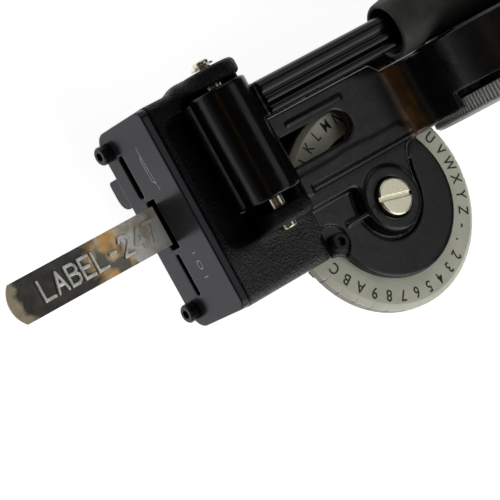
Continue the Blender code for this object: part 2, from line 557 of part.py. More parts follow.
def build_tape():
    half = 0.5 * TAPE_WIDTH
    bow = 2.6
    radius = (half ** 2 + bow ** 2) / (2 * bow)
    spread = math.degrees(math.asin(half / radius))
    tip = arc((TAPE_FRONT + radius, 0.0), radius, 180 - spread, 2 * spread, 12)
    strip = node("tape_strip", "tape_metal", prism(tip + [(112.0, -half), (112.0, half)],
                                                  TAPE_Z - 0.5 * TAPE_THICK, TAPE_Z + 0.5 * TAPE_THICK))
    on_axis("tape_axis", (0.0, 0.0, TAPE_Z), [strip])
    node("tape_guide_front", "spring_steel", box(36.5, 50.0, -9.2, 9.2, 27.4, 28.3))
    node("tape_guide_rear", "spring_steel", box(73.0, 88.0, -9.2, 6.7, 27.4, 28.3))


def build_rollers():
    for name, z, radius in (("feed", 23.8, 4.5), ("pinch", 32.5, 3.2)):
        roller = node(f"{name}_roller", "rubber" if name == "pinch" else "steel",
                      turned([(1.6, -5.5), (radius, -5.5), (radius, 5.5), (1.6, 5.5)], (ROLLERS_X, z), "Y", 24))
        on_axis(f"{name}_axis", (ROLLERS_X, 0.0, z), [roller])
        node(f"{name}_axle", "steel", rod((ROLLERS_X, z), 1.5, FRAME_RIGHT, FRAME_LEFT_REAR, "Y", 20))


def build_spool():
    centre = (DRUM_X, DRUM_Z)
    bore = 4.15
    rim_end = WHEEL_Y[0] + 1.4
    wheel = node("thumb_wheel", "wheel_plastic", turned(
        [(bore, WHEEL_Y[0] + 0.6), (22.0, WHEEL_Y[0] + 0.6), (24.0, WHEEL_Y[0]), (WHEEL_RADIUS - 0.6, WHEEL_Y[0]),
         (WHEEL_RADIUS + 0.2, rim_end - 0.5), (WHEEL_RADIUS + 0.2, rim_end), (WHEEL_RADIUS - 0.2, rim_end),
         (WHEEL_RADIUS - 0.2, WHEEL_Y[1]), (bore, WHEEL_Y[1])], centre, "Y", 48))
    core = node("spool_core", "wheel_plastic", turned(
        [(bore, -9.0), (9.7, -9.0), (9.7, 6.2), (bore, 6.2)], centre, "Y", 24))
    roll = node("tape_roll", "tape_metal", turned(
        [(10.0, -6.0), (ROLL_RADIUS - 0.6, -6.0), (ROLL_RADIUS - 0.6, 6.0), (10.0, 6.0)], centre, "Y", 40))
    on_axis("spool_axis", (DRUM_X, 0.0, DRUM_Z), [wheel, core, roll])
    node("spool_axle", "steel", turned([(0.0, -17.8), (3.6, -17.8), (4.0, -17.4), (4.0, -16.4), (3.3, -16.4),
                                        (3.3, -15.6), (4.0, -15.6), (4.0, 7.9), (0.0, 7.9)], centre, "Y", 20))
    clip = arc(centre, 5.8, 40, 280, 14) + arc(centre, 3.6, 320, -280, 14)
    node("spool_clip", "spring_steel", prism(clip, -16.25, -15.75, "Y"))


def move_origin():
    """Everything forward by one step, so that the origin is under the middle of the base cover."""
    for made in bpy.data.objects:
        if made.parent is None:
            made.location.x -= BASE_MIDDLE_X * MM
    bpy.context.view_layer.update()


clear_scene()
build_head()
build_selector()
build_lever()
build_ram()
build_rocker()
build_dial()
build_frame()
build_handle()
build_tape()
build_rollers()
build_spool()
move_origin()
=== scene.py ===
"""Looks of a hand embosser for metal tape: castings, dial, wheel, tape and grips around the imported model.

Lengths are in millimetres, measured as on the real tool: X to the rear from the front plate's face, Y to the
side that the lever lies on, Z up from the base. A finished mesh is scaled to metres and moved forward.
"""
import json
import math

import bpy
import numpy as np
from mathutils import Matrix, Vector


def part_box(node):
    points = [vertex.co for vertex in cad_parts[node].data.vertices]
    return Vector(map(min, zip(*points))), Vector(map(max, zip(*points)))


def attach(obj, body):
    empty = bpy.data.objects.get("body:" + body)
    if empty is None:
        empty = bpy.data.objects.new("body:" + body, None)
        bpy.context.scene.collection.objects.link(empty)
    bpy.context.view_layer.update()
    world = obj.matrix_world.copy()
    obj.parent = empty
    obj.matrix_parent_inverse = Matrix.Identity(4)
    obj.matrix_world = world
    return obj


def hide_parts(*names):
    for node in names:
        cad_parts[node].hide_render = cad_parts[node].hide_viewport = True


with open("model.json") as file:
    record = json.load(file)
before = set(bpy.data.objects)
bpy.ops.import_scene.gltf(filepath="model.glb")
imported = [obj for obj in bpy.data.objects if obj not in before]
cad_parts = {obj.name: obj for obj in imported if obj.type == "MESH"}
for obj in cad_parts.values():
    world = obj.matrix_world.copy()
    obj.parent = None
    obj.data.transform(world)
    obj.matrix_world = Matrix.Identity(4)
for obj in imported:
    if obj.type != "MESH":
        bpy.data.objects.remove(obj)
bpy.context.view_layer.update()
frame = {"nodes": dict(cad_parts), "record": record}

MM = 0.001
BASE_MIDDLE_X = 70.0
HEAD_TOP = 46.0
HEAD_BOTTOM = 18.7
HEAD_REAR = 35.0
PIVOT = (23.5, 49.0)
PIN_BORE = 2.5
LEVER_RISE = math.radians(7.0)
AXLE = (61.3, -24.6)
DIAL_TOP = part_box("dial_ring")[1].z / MM
DIAL_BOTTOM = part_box("dial_ring")[0].z / MM
DIAL_RADIUS = 31.5
DRUM = (115.7, 54.0)
CUTAWAY = DIAL_TOP + 0.7
GRIP_START = 56.5
FRAME_FRONT, DECK_REAR, WALL_REAR = 35.3, 92.0, 108.0
WALL_RIGHT, WALL_LEFT = -12.3, 9.1
PLATE_SCREW = (25.0, HEAD_BOTTOM + 3.0)
TONGUE_SCREW = (27.0, 26.8)
CORNER_SCREW = (38.4, -28.0)
RECESS, RECESS_RADIUS, RECESS_FLOOR = (37.4, -27.6), 5.4, 42.7
CHARACTERS = "NOPQRSTUVWXYZ-.23456789ABCDEFGHIJKLM"
LETTERS = len(CHARACTERS)
TAPE_LABEL = "LABEL-247"
LABEL_START, LABEL_PITCH = -43.2, 4.68
TAPE_LOW, TAPE_HIGH = 28.6, 29.0
EMBOSS = 0.42


# Meshes

def to_frame(points):
    """Tool millimetres to the frame's metres: forward by the base's middle, then scaled."""
    return (np.asarray(points, float) - (BASE_MIDDLE_X, 0.0, 0.0)) * MM


def raised(points):
    """From the lever's straight frame, its pivot at zero, to the tool: turned up about Y, then moved."""
    points = np.asarray(points, float)
    c, s = math.cos(LEVER_RISE), math.sin(LEVER_RISE)
    x, y, z = points[..., 0], points[..., 1], points[..., 2]
    return np.stack([PIVOT[0] + c * x - s * z, y, PIVOT[1] + s * x + c * z], axis=-1)


def put_mesh(name, points, faces, material, sharp=None):
    """One piece from arrays of tool points and of faces, all with the same number of corners."""
    points = to_frame(points)
    faces = np.asarray(faces, np.int32)
    count, corners = faces.shape
    mesh = bpy.data.meshes.new(name)
    mesh.vertices.add(len(points))
    mesh.vertices.foreach_set("co", points.astype(np.float32).ravel())
    mesh.loops.add(faces.size)
    mesh.loops.foreach_set("vertex_index", faces.ravel())
    mesh.polygons.add(count)
    mesh.polygons.foreach_set("loop_start", np.arange(count, dtype=np.int32) * corners)
    mesh.update(calc_edges=True)
    mesh.validate()
    mesh.shade_smooth()
    if sharp is not None:
        mesh.set_sharp_from_angle(angle=math.radians(sharp))
    mesh.materials.append(material)
    piece = bpy.data.objects.new(name, mesh)
    bpy.context.scene.collection.objects.link(piece)
    return piece


def belongs(piece, body, slot, *nodes):
    """The piece rides a body and stands in for the nodes that are named. The slot is not used."""
    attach(piece, body)
    if nodes:
        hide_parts(*nodes)
    return piece


def together(parts):
    """Several surfaces as one: their points in a row, each later one's faces counted on from there."""
    starts = np.cumsum([0] + [len(points) for points, _ in parts])
    return (np.concatenate([points for points, _ in parts]),
            np.concatenate([faces + start for (_, faces), start in zip(parts, starts)]))


def grid_faces(rows, columns, closed=True):
    """Quads between neighbouring points of a grid. The columns meet round the back where they are closed."""
    steps = columns if closed else columns - 1
    i, j = np.meshgrid(np.arange(rows - 1), np.arange(steps), indexing="ij")
    k = (j + 1) % columns
    return np.stack([i * columns + j, i * columns + k, (i + 1) * columns + k, (i + 1) * columns + j],
                    axis=-1).reshape(-1, 4)


def capped(rings):
    """Rings of points joined in turn by triangles, each end closed by a fan round its middle point."""
    rows, columns, _ = rings.shape
    points = np.concatenate([rings.reshape(-1, 3), [rings[0].mean(0)], [rings[-1].mean(0)]])
    faces = grid_faces(rows, columns)
    tris = np.concatenate([faces[:, (0, 1, 2)], faces[:, (0, 2, 3)]])
    j = np.arange(columns)
    k = (j + 1) % columns
    start = np.stack([np.full(columns, rows * columns), k, j], axis=-1)
    last = (rows - 1) * columns
    end = np.stack([np.full(columns, rows * columns + 1), last + j, last + k], axis=-1)
    return points, np.concatenate([tris, start, end])


def spun(profile, centre, axis="Z", steps=96, waves=None):
    """A closed profile of (radius, height) carried round an axis: a surface of angle and place on it.

    waves(angle, profile) may add to each point's radius and height.
    """
    profile = np.asarray(profile, float)
    angle = np.linspace(0, 2 * math.pi, steps, endpoint=False)
    radius = np.repeat(profile[None, :, 0], steps, 0)
    height = np.repeat(profile[None, :, 1], steps, 0)
    if waves is not None:
        radius, height = waves(angle[:, None], radius, height)
    c, s = np.cos(angle)[:, None] * radius, np.sin(angle)[:, None] * radius
    place = {"Z": (centre[0] + c, centre[1] + s, height), "Y": (centre[0] + s, height, centre[1] + c),
             "X": (height, centre[0] + c, centre[1] + s)}[axis]
    points = np.stack(place, axis=-1)
    faces = grid_faces(steps + 1, len(profile)) % (steps * len(profile))
    return points.reshape(-1, 3), faces


def eased(corners, steps=4):
    """A closed profile whose corners (a, b, radius) are rounded off with arcs tangent to both sides."""
    corners = np.asarray(corners, float)
    points = []
    for i, (a, b, radius) in enumerate(corners):
        here = np.array((a, b))
        before = corners[i - 1][:2] - here
        after = corners[(i + 1) % len(corners)][:2] - here
        before, after = before / np.linalg.norm(before), after / np.linalg.norm(after)
        if radius <= 0:
            points.append(here)
            continue
        half = 0.5 * math.acos(np.clip(before @ after, -1, 1))
        reach = radius / math.tan(half)
        middle = here + (before + after) / np.linalg.norm(before + after) * radius / math.sin(half)
        for t in np.linspace(0, 1, steps + 1):
            way = here + before * reach * (1 - t) + after * reach * t - middle
            points.append(middle + way / np.linalg.norm(way) * radius)
    return np.array(points)


# Castings: a distance field, negative inside, whose zero surface is meshed

def span(p, low, high):
    """Distance past the nearer end of a stretch, negative within it."""
    return np.maximum(low - p, p - high)


def both(a, b, edge):
    """Where two fields overlap, with the outer edge between them rounded by a radius."""
    a, b = a + edge, b + edge
    return np.minimum(np.maximum(a, b), 0) + np.hypot(np.maximum(a, 0), np.maximum(b, 0)) - edge


def joined(a, b, fillet=0.0):
    """Two fields as one. Within the fillet's reach a smooth hollow bridges them."""
    if fillet == 0.0:
        return np.minimum(a, b)
    near = np.maximum(fillet - np.abs(a - b), 0) / fillet
    return np.minimum(a, b) - near * near * fillet * 0.25


def cut(a, b, edge=0.0):
    """The first field less the second, the rim between them eased."""
    return -joined(-a, b, edge)


def disc(u, v, centre, radius):
    """Distance past a circle: from its middle, less its radius."""
    return np.hypot(u - centre[0], v - centre[1]) - radius


def panel(u, v, low, high, corner=0.0):
    """A rectangle's distance, its corners rounded."""
    a = np.maximum(low[0] - u, u - high[0]) + corner
    b = np.maximum(low[1] - v, v - high[1]) + corner
    return np.minimum(np.maximum(a, b), 0) + np.hypot(np.maximum(a, 0), np.maximum(b, 0)) - corner


def outline(u, v, points):
    """A polygon's distance: to its nearest edge, negative where a ray crosses an odd number of edges."""
    u, v = np.broadcast_arrays(u, v)
    near = np.full(u.shape, 1e9)
    odd = np.zeros(u.shape, bool)
    for (a0, b0), (a1, b1) in zip(points, points[1:] + points[:1]):
        da, db = a1 - a0, b1 - b0
        t = np.clip(((u - a0) * da + (v - b0) * db) / (da * da + db * db), 0, 1)
        near = np.minimum(near, (u - a0 - t * da) ** 2 + (v - b0 - t * db) ** 2)
        if db != 0:
            odd ^= ((b0 > v) != (b1 > v)) & (u < a0 + (v - b0) * da / db)
    return np.where(odd, -1, 1) * np.sqrt(near)


def bend(centre, radius, start, sweep, steps=8):
    """Points on a circle from an angle, both ends included, in degrees."""
    angles = np.radians(start + sweep * np.arange(steps + 1) / steps)
    return list(zip(centre[0] + radius * np.cos(angles), centre[1] + radius * np.sin(angles)))


def ticks(*stops):
    """Grid lines in stretches (from, to, step), each step a little finer so that it ends on its stop."""
    lines = [np.array([stops[0][0]])]
    for low, high, step in stops:
        count = max(1, int(math.ceil((high - low) / step)))
        lines.append(np.linspace(low, high, count + 1)[1:])
    return np.concatenate(lines)


def skin(field, xs, ys, zs):
    """The zero surface of a field on a grid.

    Each grid edge whose ends differ in sign holds one crossing, at the share of the edge where a straight
    line between its end values is zero. Each cell that has crossings gets one point, the mean of its
    crossings, and each crossing gets one quad, between the four cells round its edge.
    """
    value = np.broadcast_to(field(xs[:, None, None], ys[None, :, None], zs[None, None, :]),
                            (len(xs), len(ys), len(zs))).astype(np.float32)
    value[[0, -1]] = np.maximum(value[[0, -1]], 0.01)
    value[:, [0, -1]] = np.maximum(value[:, [0, -1]], 0.01)
    value[:, :, [0, -1]] = np.maximum(value[:, :, [0, -1]], 0.01)
    inside = value < 0
    shape = np.array(value.shape) - 1
    lines = (xs, ys, zs)
    cells, places, quads = [], [], []
    for axis in range(3):
        low = [slice(None)] * 3
        high = [slice(None)] * 3
        low[axis], high[axis] = slice(None, -1), slice(1, None)
        low, high = tuple(low), tuple(high)
        at = np.stack(np.nonzero(inside[low] != inside[high]), axis=-1)
        a, b = value[low][tuple(at.T)], value[high][tuple(at.T)]
        place = np.stack([lines[k][at[:, k]] for k in range(3)], axis=-1)
        share = a / (a - b)
        place[:, axis] += share * (lines[axis][at[:, axis] + 1] - lines[axis][at[:, axis]])
        others = [k for k in range(3) if k != axis]
        around = []
        for back_u, back_v in ((1, 1), (0, 1), (0, 0), (1, 0)):
            cell = at.copy()
            cell[:, others[0]] -= back_u
            cell[:, others[1]] -= back_v
            around.append((cell[:, 0] * shape[1] + cell[:, 1]) * shape[2] + cell[:, 2])
        around = np.stack(around, axis=-1)
        cells.append(around.ravel())
        places.append(np.repeat(place, 4, 0))
        outwards = (a < 0) != (axis == 1)
        quads.append(np.where(outwards[:, None], around, around[:, ::-1]))
    cells = np.concatenate(cells)
    places = np.concatenate(places)
    used, row = np.unique(cells, return_inverse=True)
    count = np.bincount(row)
    points = np.stack([np.bincount(row, weights=places[:, k]) / count for k in range(3)], axis=-1)
    return points, np.searchsorted(used, np.concatenate(quads))


# Finishes

def finish(name, colour, rough, metal=0.0, **constants):
    """A material with its plain values, and its tree to add detail to."""
    made = bpy.data.materials.new(name)
    made.use_nodes = True
    shader = made.node_tree.nodes["Principled BSDF"]
    shader.inputs["Base Color"].default_value = (*colour, 1.0)
    shader.inputs["Roughness"].default_value = rough
    shader.inputs["Metallic"].default_value = metal
    for key, number in constants.items():
        shader.inputs[key.replace("_", " ")].default_value = number
    return made


def link(made, source, target):
    """One output to one socket."""
    made.node_tree.links.new(source, target)


def place_of(made, stretch=(1.0, 1.0, 1.0)):
    """Object coordinates in millimetres, stretched along the axes."""
    tree = made.node_tree.nodes
    where = tree.new("ShaderNodeTexCoord")
    scale = tree.new("ShaderNodeMapping")
    scale.inputs["Scale"].default_value = [s / MM for s in stretch]
    link(made, where.outputs["Object"], scale.inputs["Vector"])
    return scale.outputs["Vector"]


def noise(made, size, detail=3.0, rough=0.55, stretch=(1.0, 1.0, 1.0)):
    """Noise whose blotches are about size millimetres across."""
    made_noise = made.node_tree.nodes.new("ShaderNodeTexNoise")
    made_noise.inputs["Scale"].default_value = 1.0 / size
    made_noise.inputs["Detail"].default_value = detail
    made_noise.inputs["Roughness"].default_value = rough
    link(made, place_of(made, stretch), made_noise.inputs["Vector"])
    return made_noise.outputs["Fac"]


def spread(made, source, low, high, to_low, to_high):
    """A value carried in proportion from one range to another and held at the new range's ends."""
    ranged = made.node_tree.nodes.new("ShaderNodeMapRange")
    for key, number in zip(("From Min", "From Max", "To Min", "To Max"), (low, high, to_low, to_high)):
        ranged.inputs[key].default_value = number
    link(made, source, ranged.inputs["Value"])
    return ranged.outputs["Result"]


def mixed(made, share, first, second):
    """A colour between two, each a colour or an output."""
    mix = made.node_tree.nodes.new("ShaderNodeMix")
    mix.data_type = "RGBA"
    link(made, share, mix.inputs["Factor"])
    for key, colour in (("A", first), ("B", second)):
        socket = [s for s in mix.inputs if s.name == key and s.type == "RGBA"][0]
        if isinstance(colour, tuple):
            socket.default_value = (*colour, 1.0)
        else:
            link(made, colour, socket)
    return [s for s in mix.outputs if s.type == "RGBA"][0]


def worked(made, how, *sources):
    """A sum or product of outputs and numbers."""
    maths = made.node_tree.nodes.new("ShaderNodeMath")
    maths.operation = how
    for place, source in enumerate(sources):
        if isinstance(source, float):
            maths.inputs[place].default_value = source
        else:
            link(made, source, maths.inputs[place])
    return maths.outputs[0]


def axes_of(made):
    """The place in the frame, in millimetres, along X, Y and Z."""
    parts = made.node_tree.nodes.new("ShaderNodeSeparateXYZ")
    link(made, place_of(made), parts.inputs["Vector"])
    return parts.outputs


def bumps(made, *heights):
    """Heights in millimetres, one bump after another: (output, height)."""
    last = None
    for source, height in heights:
        bump = made.node_tree.nodes.new("ShaderNodeBump")
        bump.inputs["Strength"].default_value = 1.0
        bump.inputs["Distance"].default_value = height * MM
        link(made, source, bump.inputs["Height"])
        if last is not None:
            link(made, last, bump.inputs["Normal"])
        last = bump.outputs["Normal"]
    link(made, last, made.node_tree.nodes["Principled BSDF"].inputs["Normal"])


def base(made, output):
    """The colour from an output."""
    link(made, output, made.node_tree.nodes["Principled BSDF"].inputs["Base Color"])


def roughness(made, output):
    """The roughness from an output."""
    link(made, output, made.node_tree.nodes["Principled BSDF"].inputs["Roughness"])


def satin_enamel():
    """Black stoving enamel, a little uneven in gloss, with a painted amber reflection in the hollow between
    deck and drum.
    """
    made = finish("satin_enamel", (0.006, 0.006, 0.006), 0.28, Specular_IOR_Level=0.5)
    cloud = noise(made, 9.0, 4.0)
    black = mixed(made, spread(made, cloud, 0.35, 0.7, 0.0, 1.0),
                  (0.0035, 0.0035, 0.0035), (0.0075, 0.0075, 0.007))
    place = axes_of(made)
    # Painted amber reflection: a brown band where the deck meets the drum's curve.
    hollow = worked(made, "MULTIPLY", spread(made, place["X"], 6.6, 7.6, 0.0, 1.0),
                    spread(made, place["X"], 11.5, 14.5, 1.0, 0.0))
    hollow = worked(made, "MULTIPLY", hollow, spread(made, place["Z"], 45.0, 46.2, 0.0, 1.0))
    brown = mixed(made, spread(made, noise(made, 5.0, 2.0), 0.4, 0.6, 0.0, 1.0),
                  (0.040, 0.016, 0.002), (0.090, 0.038, 0.005))
    base(made, mixed(made, hollow, black, brown))
    roughness(made, spread(made, noise(made, 3.0), 0.3, 0.7, 0.22, 0.33))
    bumps(made, (noise(made, 1.6, 2.0), 0.012), (noise(made, 0.22, 2.0), 0.004))
    return made


def wrinkle_enamel():
    """The same enamel where it has a fine wrinkle: a close, hard-edged grain, with painted shade, darker and
    less glossy, over the well and the top on the lever's side.
    """
    made = finish("wrinkle_enamel", (0.005, 0.005, 0.0045), 0.34, Specular_IOR_Level=0.5)
    grain = made.node_tree.nodes.new("ShaderNodeTexVoronoi")
    grain.feature = "SMOOTH_F1"
    grain.inputs["Scale"].default_value = 1.0 / 0.55
    link(made, place_of(made), grain.inputs["Vector"])
    # Painted shade: the colour and the gloss drop as Y rises from -19 to -13 mm, over the well round the hub.
    side_clear_of_painted_shade = spread(made, axes_of(made)["Y"], -19.0, -13.0, 1.0, 0.0)
    base(made, mixed(made, side_clear_of_painted_shade, (0.0015, 0.0015, 0.0013), (0.010, 0.010, 0.0095)))
    shader = made.node_tree.nodes["Principled BSDF"]
    link(made, spread(made, side_clear_of_painted_shade, 0.0, 1.0, 0.16, 0.62), shader.inputs["Specular IOR Level"])
    roughness(made, spread(made, noise(made, 1.2), 0.3, 0.7, 0.28, 0.5))
    bumps(made, (grain.outputs["Distance"], 0.30), (noise(made, 0.5, 3.0, 0.7), 0.25))
    return made


def gloss_enamel():
    """The lever's blacker, glossier enamel."""
    made = finish("gloss_enamel", (0.0015, 0.0015, 0.0015), 0.2, Specular_IOR_Level=0.35)
    roughness(made, spread(made, noise(made, 4.0), 0.3, 0.7, 0.16, 0.27))
    bumps(made, (noise(made, 2.2, 2.0), 0.02), (noise(made, 0.5, 2.0), 0.004))
    return made


def satin_plate():
    """Blue-grey satin plating, faintly brushed along the plate."""
    made = finish("satin_plate", (0.030, 0.029, 0.035), 0.24, 0.7)
    cloud = spread(made, noise(made, 14.0, 4.0), 0.3, 0.7, 0.0, 1.0)
    base(made, mixed(made, cloud, (0.023, 0.0225, 0.028), (0.028, 0.027, 0.034)))
    brushed = noise(made, 0.35, 3.0, 0.6, (1.0, 0.05, 1.0))
    roughness(made, spread(made, brushed, 0.3, 0.7, 0.19, 0.27))
    bumps(made, (brushed, 0.003), (noise(made, 0.25, 2.0), 0.003))
    return made


def bare_metal(name, colour, rough, brush=(1.0, 1.0, 1.0), size=0.4):
    """Bare metal: faint clouding in colour, and a grain in gloss and height, drawn out along the brushing."""
    made = finish(name, colour, rough, 1.0)
    dark = tuple(0.72 * c for c in colour)
    base(made, mixed(made, spread(made, noise(made, 2.5, 4.0), 0.35, 0.75, 0.0, 1.0), colour, dark))
    grain = noise(made, size, 3.0, 0.6, brush)
    roughness(made, spread(made, grain, 0.25, 0.75, rough * 0.75, rough * 1.35))
    bumps(made, (grain, 0.006))
    return made


def moulded(name, colour, rough):
    """Moulded plastic: fine spark-eroded grain and faint clouding."""
    made = finish(name, colour, rough, Subsurface_Weight=0.04, Subsurface_Scale=0.0015)
    duller_tone = tuple(0.86 * c for c in colour)
    base(made, mixed(made, spread(made, noise(made, 7.0, 5.0), 0.4, 0.75, 0.0, 1.0), colour, duller_tone))
    roughness(made, spread(made, noise(made, 1.5), 0.3, 0.7, rough - 0.06, rough + 0.08))
    bumps(made, (noise(made, 0.18, 2.0), 0.006))
    return made


def darken_below(made, top, duller_tone):
    """Painted shade on a side: the colour drops to a duller one between 1.3 and 2.1 mm under a height."""
    shader = made.node_tree.nodes["Principled BSDF"]
    unshaded = shader.inputs["Base Color"].links[0].from_socket
    share = spread(made, axes_of(made)["Z"], top - 2.1, top - 1.3, 0.0, 1.0)
    base(made, mixed(made, share, duller_tone, unshaded))


def matte_rubber():
    """Dipped soft grip: matte, fine grained, a little dusty."""
    made = finish("matte_rubber", (0.03, 0.031, 0.028), 0.62, Specular_IOR_Level=0.4)
    dust = spread(made, noise(made, 6.0, 6.0, 0.65), 0.35, 0.75, 0.0, 1.0)
    base(made, mixed(made, dust, (0.030, 0.031, 0.028), (0.055, 0.056, 0.050)))
    roughness(made, spread(made, noise(made, 2.5), 0.3, 0.7, 0.52, 0.72))
    bumps(made, (noise(made, 0.3, 3.0), 0.012), (noise(made, 5.0), 0.05))
    return made


ENAMEL = satin_enamel()
WRINKLE = wrinkle_enamel()
GLOSS = gloss_enamel()
PLATE = satin_plate()
RUBBER = matte_rubber()
SAGE = moulded("sage_plastic", (0.72, 0.73, 0.60), 0.5)
# The letter ring's side, below its top face, is painted darker as shade.
RIM = moulded("rim_with_painted_shade", (0.72, 0.73, 0.60), 0.5)
darken_below(RIM, DIAL_TOP, (0.27, 0.265, 0.23))
PALE = moulded("pale_plastic", (0.50, 0.50, 0.48), 0.45)
STEEL = bare_metal("ground_steel", (0.55, 0.55, 0.54), 0.3, (1.0, 0.1, 1.0))
NICKEL = bare_metal("warm_nickel", (0.78, 0.73, 0.60), 0.2)
CREAM = finish("cream_screw", (0.97, 0.93, 0.72), 0.26, 1.0)
roughness(CREAM, spread(CREAM, noise(CREAM, 0.5, 3.0, 0.6, (1.0, 0.2, 1.0)), 0.25, 0.75, 0.25, 0.30))
bumps(CREAM, (noise(CREAM, 2.5, 2.0), 0.004))
SPRING = bare_metal("spring_steel", (0.45, 0.44, 0.42), 0.32)
BRASS = bare_metal("turned_brass", (0.70, 0.52, 0.25), 0.32)
BLACK_FINISH_AND_SHADE = finish("blackened_steel_and_painted_shade", (0.02, 0.02, 0.02), 0.35, 0.6)
bumps(BLACK_FINISH_AND_SHADE, (noise(BLACK_FINISH_AND_SHADE, 0.3, 3.0), 0.008))
INK = finish("black_ink", (0.030, 0.031, 0.024), 0.5)
bumps(INK, (noise(INK, 0.1, 2.0), 0.004))
DARK = finish("dark_paint", (0.004, 0.004, 0.004), 0.6, Specular_IOR_Level=0.2)
bumps(DARK, (noise(DARK, 0.4, 3.0), 0.01))
WHITE = finish("white_paint", (0.40, 0.40, 0.41), 0.5)
bumps(WHITE, (noise(WHITE, 0.1, 2.0), 0.004))


# Head

def head_field(x, y, z):
    """A rounded block with two ears round the lever's pin, hollowed for the hub, the ram and the dial."""
    section = panel(y, z, (-30.8, HEAD_BOTTOM + 0.2), (30.8, HEAD_TOP - 0.2), 3.0)
    body = both(section, span(x, 2.9, HEAD_REAR), 0.7)
    round_ear = 8.7
    foot = panel(x, z, (PIVOT[0] - round_ear, 40.0), (PIVOT[0] + round_ear, PIVOT[1]))
    ear = joined(disc(x, z, PIVOT, round_ear), foot)
    ears = np.minimum(both(ear, span(y, 27.0, 32.0), 1.6), both(ear, span(y, -16.0, -11.0), 1.7))
    solid = joined(body, ears, 3.0)
    hub_room = both(disc(x, z, PIVOT, 10.3), span(y, -9.6, 26.6), 0.3)
    well = both(panel(x, y, (6.0, -15.6), (17.0, 24.5), 3.4), span(z, 40.4, 60.0), 0.8)
    bar_room = both(panel(x, y, (28.0, 11.4), (40.0, 23.6), 0.4), span(z, 43.0, 60.0), 0.3)
    solid = cut(solid, joined(hub_room, well), 1.1)
    solid = cut(solid, bar_room, 0.5)
    solid = cut(solid, disc(x, z, PIVOT, PIN_BORE))
    rooms = (
        ((5.5, 31.8), (-27.6, 27.6), (30.0, 38.2)), ((17.0, 31.8), (-8.0, 25.6), (38.0, 43.0)),
        ((5.5, 31.8), (-22.9, 22.9), (20.6, 30.5)), ((4.2, 33.2), (-24.5, 24.5), (18.0, 20.9)),
        ((2.0, 6.0), (-23.0, 23.0), (25.0, 31.2)), ((31.0, 36.0), (-9.4, 9.4), (18.0, 31.5)),
    )
    for along, across, upward in rooms:
        room = np.maximum(np.maximum(span(x, *along), span(y, *across)), span(z, *upward))
        solid = cut(solid, room)
    solid = cut(solid, np.maximum(disc(x, y, AXLE, DIAL_RADIUS + 0.9), span(z, 22.5, DIAL_TOP + 1.2)), 0.4)
    solid = cut(solid, np.maximum(disc(x, y, RECESS, RECESS_RADIUS), RECESS_FLOOR - z), 0.5)
    for side in (-1, 1):
        solid = cut(solid, np.maximum(disc(side * y, z, PLATE_SCREW, 1.6), span(x, 2.0, 10.5)))
        solid = cut(solid, np.maximum(disc(x, y, (14.0, side * 25.3), 2.9), span(z, 23.0, 30.5)))
        solid = cut(solid, np.maximum(disc(x, side * y, TONGUE_SCREW, 1.65), span(z, 18.0, 25.0)))
    return solid


def build_head():
    """The head's zero surface, in cells of half a millimetre."""
    points, faces = skin(head_field, ticks((2.4, 35.6, 0.5)), ticks((-31.4, 32.8, 0.5)),
                         ticks((18.2, 38.0, 0.9), (38.0, 58.4, 0.45)))
    head = put_mesh("head_casting", points, faces, WRINKLE)
    belongs(head, "frame", "black_casting", "head_block")


def plate_field(x, y, z):
    """A rounded rectangle with three slots and two screw holes through it."""
    sheet = both(outline_plate(y, z), span(x, 0.0, 2.7), 0.25)
    ends = panel(np.abs(y), z, (5.6, 26.9), (7.6, 31.3), 0.3)
    exit_slot = joined(panel(y, z, (-7.6, 28.0), (7.6, 31.0), 0.3), ends)
    cut_slot = panel(y, z, (9.0, HEAD_BOTTOM + 6.5), (22.5, HEAD_BOTTOM + 8.8), 1.1)
    punch_slot = panel(y, z, (-22.0, HEAD_BOTTOM + 8.6), (-9.0, HEAD_BOTTOM + 10.2), 0.78)
    holes = disc(np.abs(y), z, PLATE_SCREW, 1.7)
    return cut(sheet, np.minimum(np.minimum(exit_slot, cut_slot), np.minimum(punch_slot, holes)), 0.25)


def outline_plate(y, z):
    """The plate's outline: 5 mm corners below, 2.5 mm above."""
    lower = panel(y, z, (-30.5, HEAD_BOTTOM), (30.5, HEAD_TOP + 9.0), 5.0)
    upper = panel(y, z, (-30.5, HEAD_BOTTOM - 9.0), (30.5, HEAD_TOP), 2.5)
    return np.maximum(lower, upper)


def build_plate():
    """The plate's zero surface, in cells of about 0.3 mm."""
    points, faces = skin(plate_field, ticks((-0.3, 2.9, 0.29)), ticks((-31.0, 31.0, 0.32)),
                         ticks((18.3, 46.4, 0.29)))
    plate = put_mesh("face_plate", points, faces, PLATE)
    belongs(plate, "frame", "grey_plate", "front_plate")


def marks_field(x, y, z):
    """Painted lines on the plate: a cut strip above one slot, a hole between two edges above the other."""
    lines = [((22.0, 36.2), (19.6, 36.2)), ((19.6, 36.2), (18.6, 35.3)), ((18.6, 35.3), (12.0, 35.3)),
             ((12.0, 35.3), (11.0, 36.7)), ((19.6, 36.2), (8.8, 36.9)),
             ((-10.7, 35.5), (-10.7, 37.2)), ((-18.2, 35.5), (-18.2, 37.2))]
    near = np.abs(np.hypot((y + 14.45) / 1.25, (z - 36.3) / 1.0) - 1.0) * 1.1
    for (y0, z0), (y1, z1) in lines:
        dy, dz = y1 - y0, z1 - z0
        t = np.clip(((y - y0) * dy + (z - z0) * dz) / (dy * dy + dz * dz), 0, 1)
        near = np.minimum(near, np.hypot(y - y0 - t * dy, z - z0 - t * dz))
    return np.maximum(near - 0.16, span(x, -0.04, 0.05))


def build_marks():
    """The painted lines as two patches of one thin surface, one for each sign."""
    depth, height = ticks((-0.14, 0.14, 0.056)), ticks((34.9, 37.8, 0.1))
    points, faces = together([skin(marks_field, depth, ticks(reach), height)
                              for reach in ((8.2, 22.6, 0.1), (-18.9, -9.9, 0.1))])
    belongs(put_mesh("plate_marks", points, faces, WHITE), "frame", "grey_plate")


# Lever

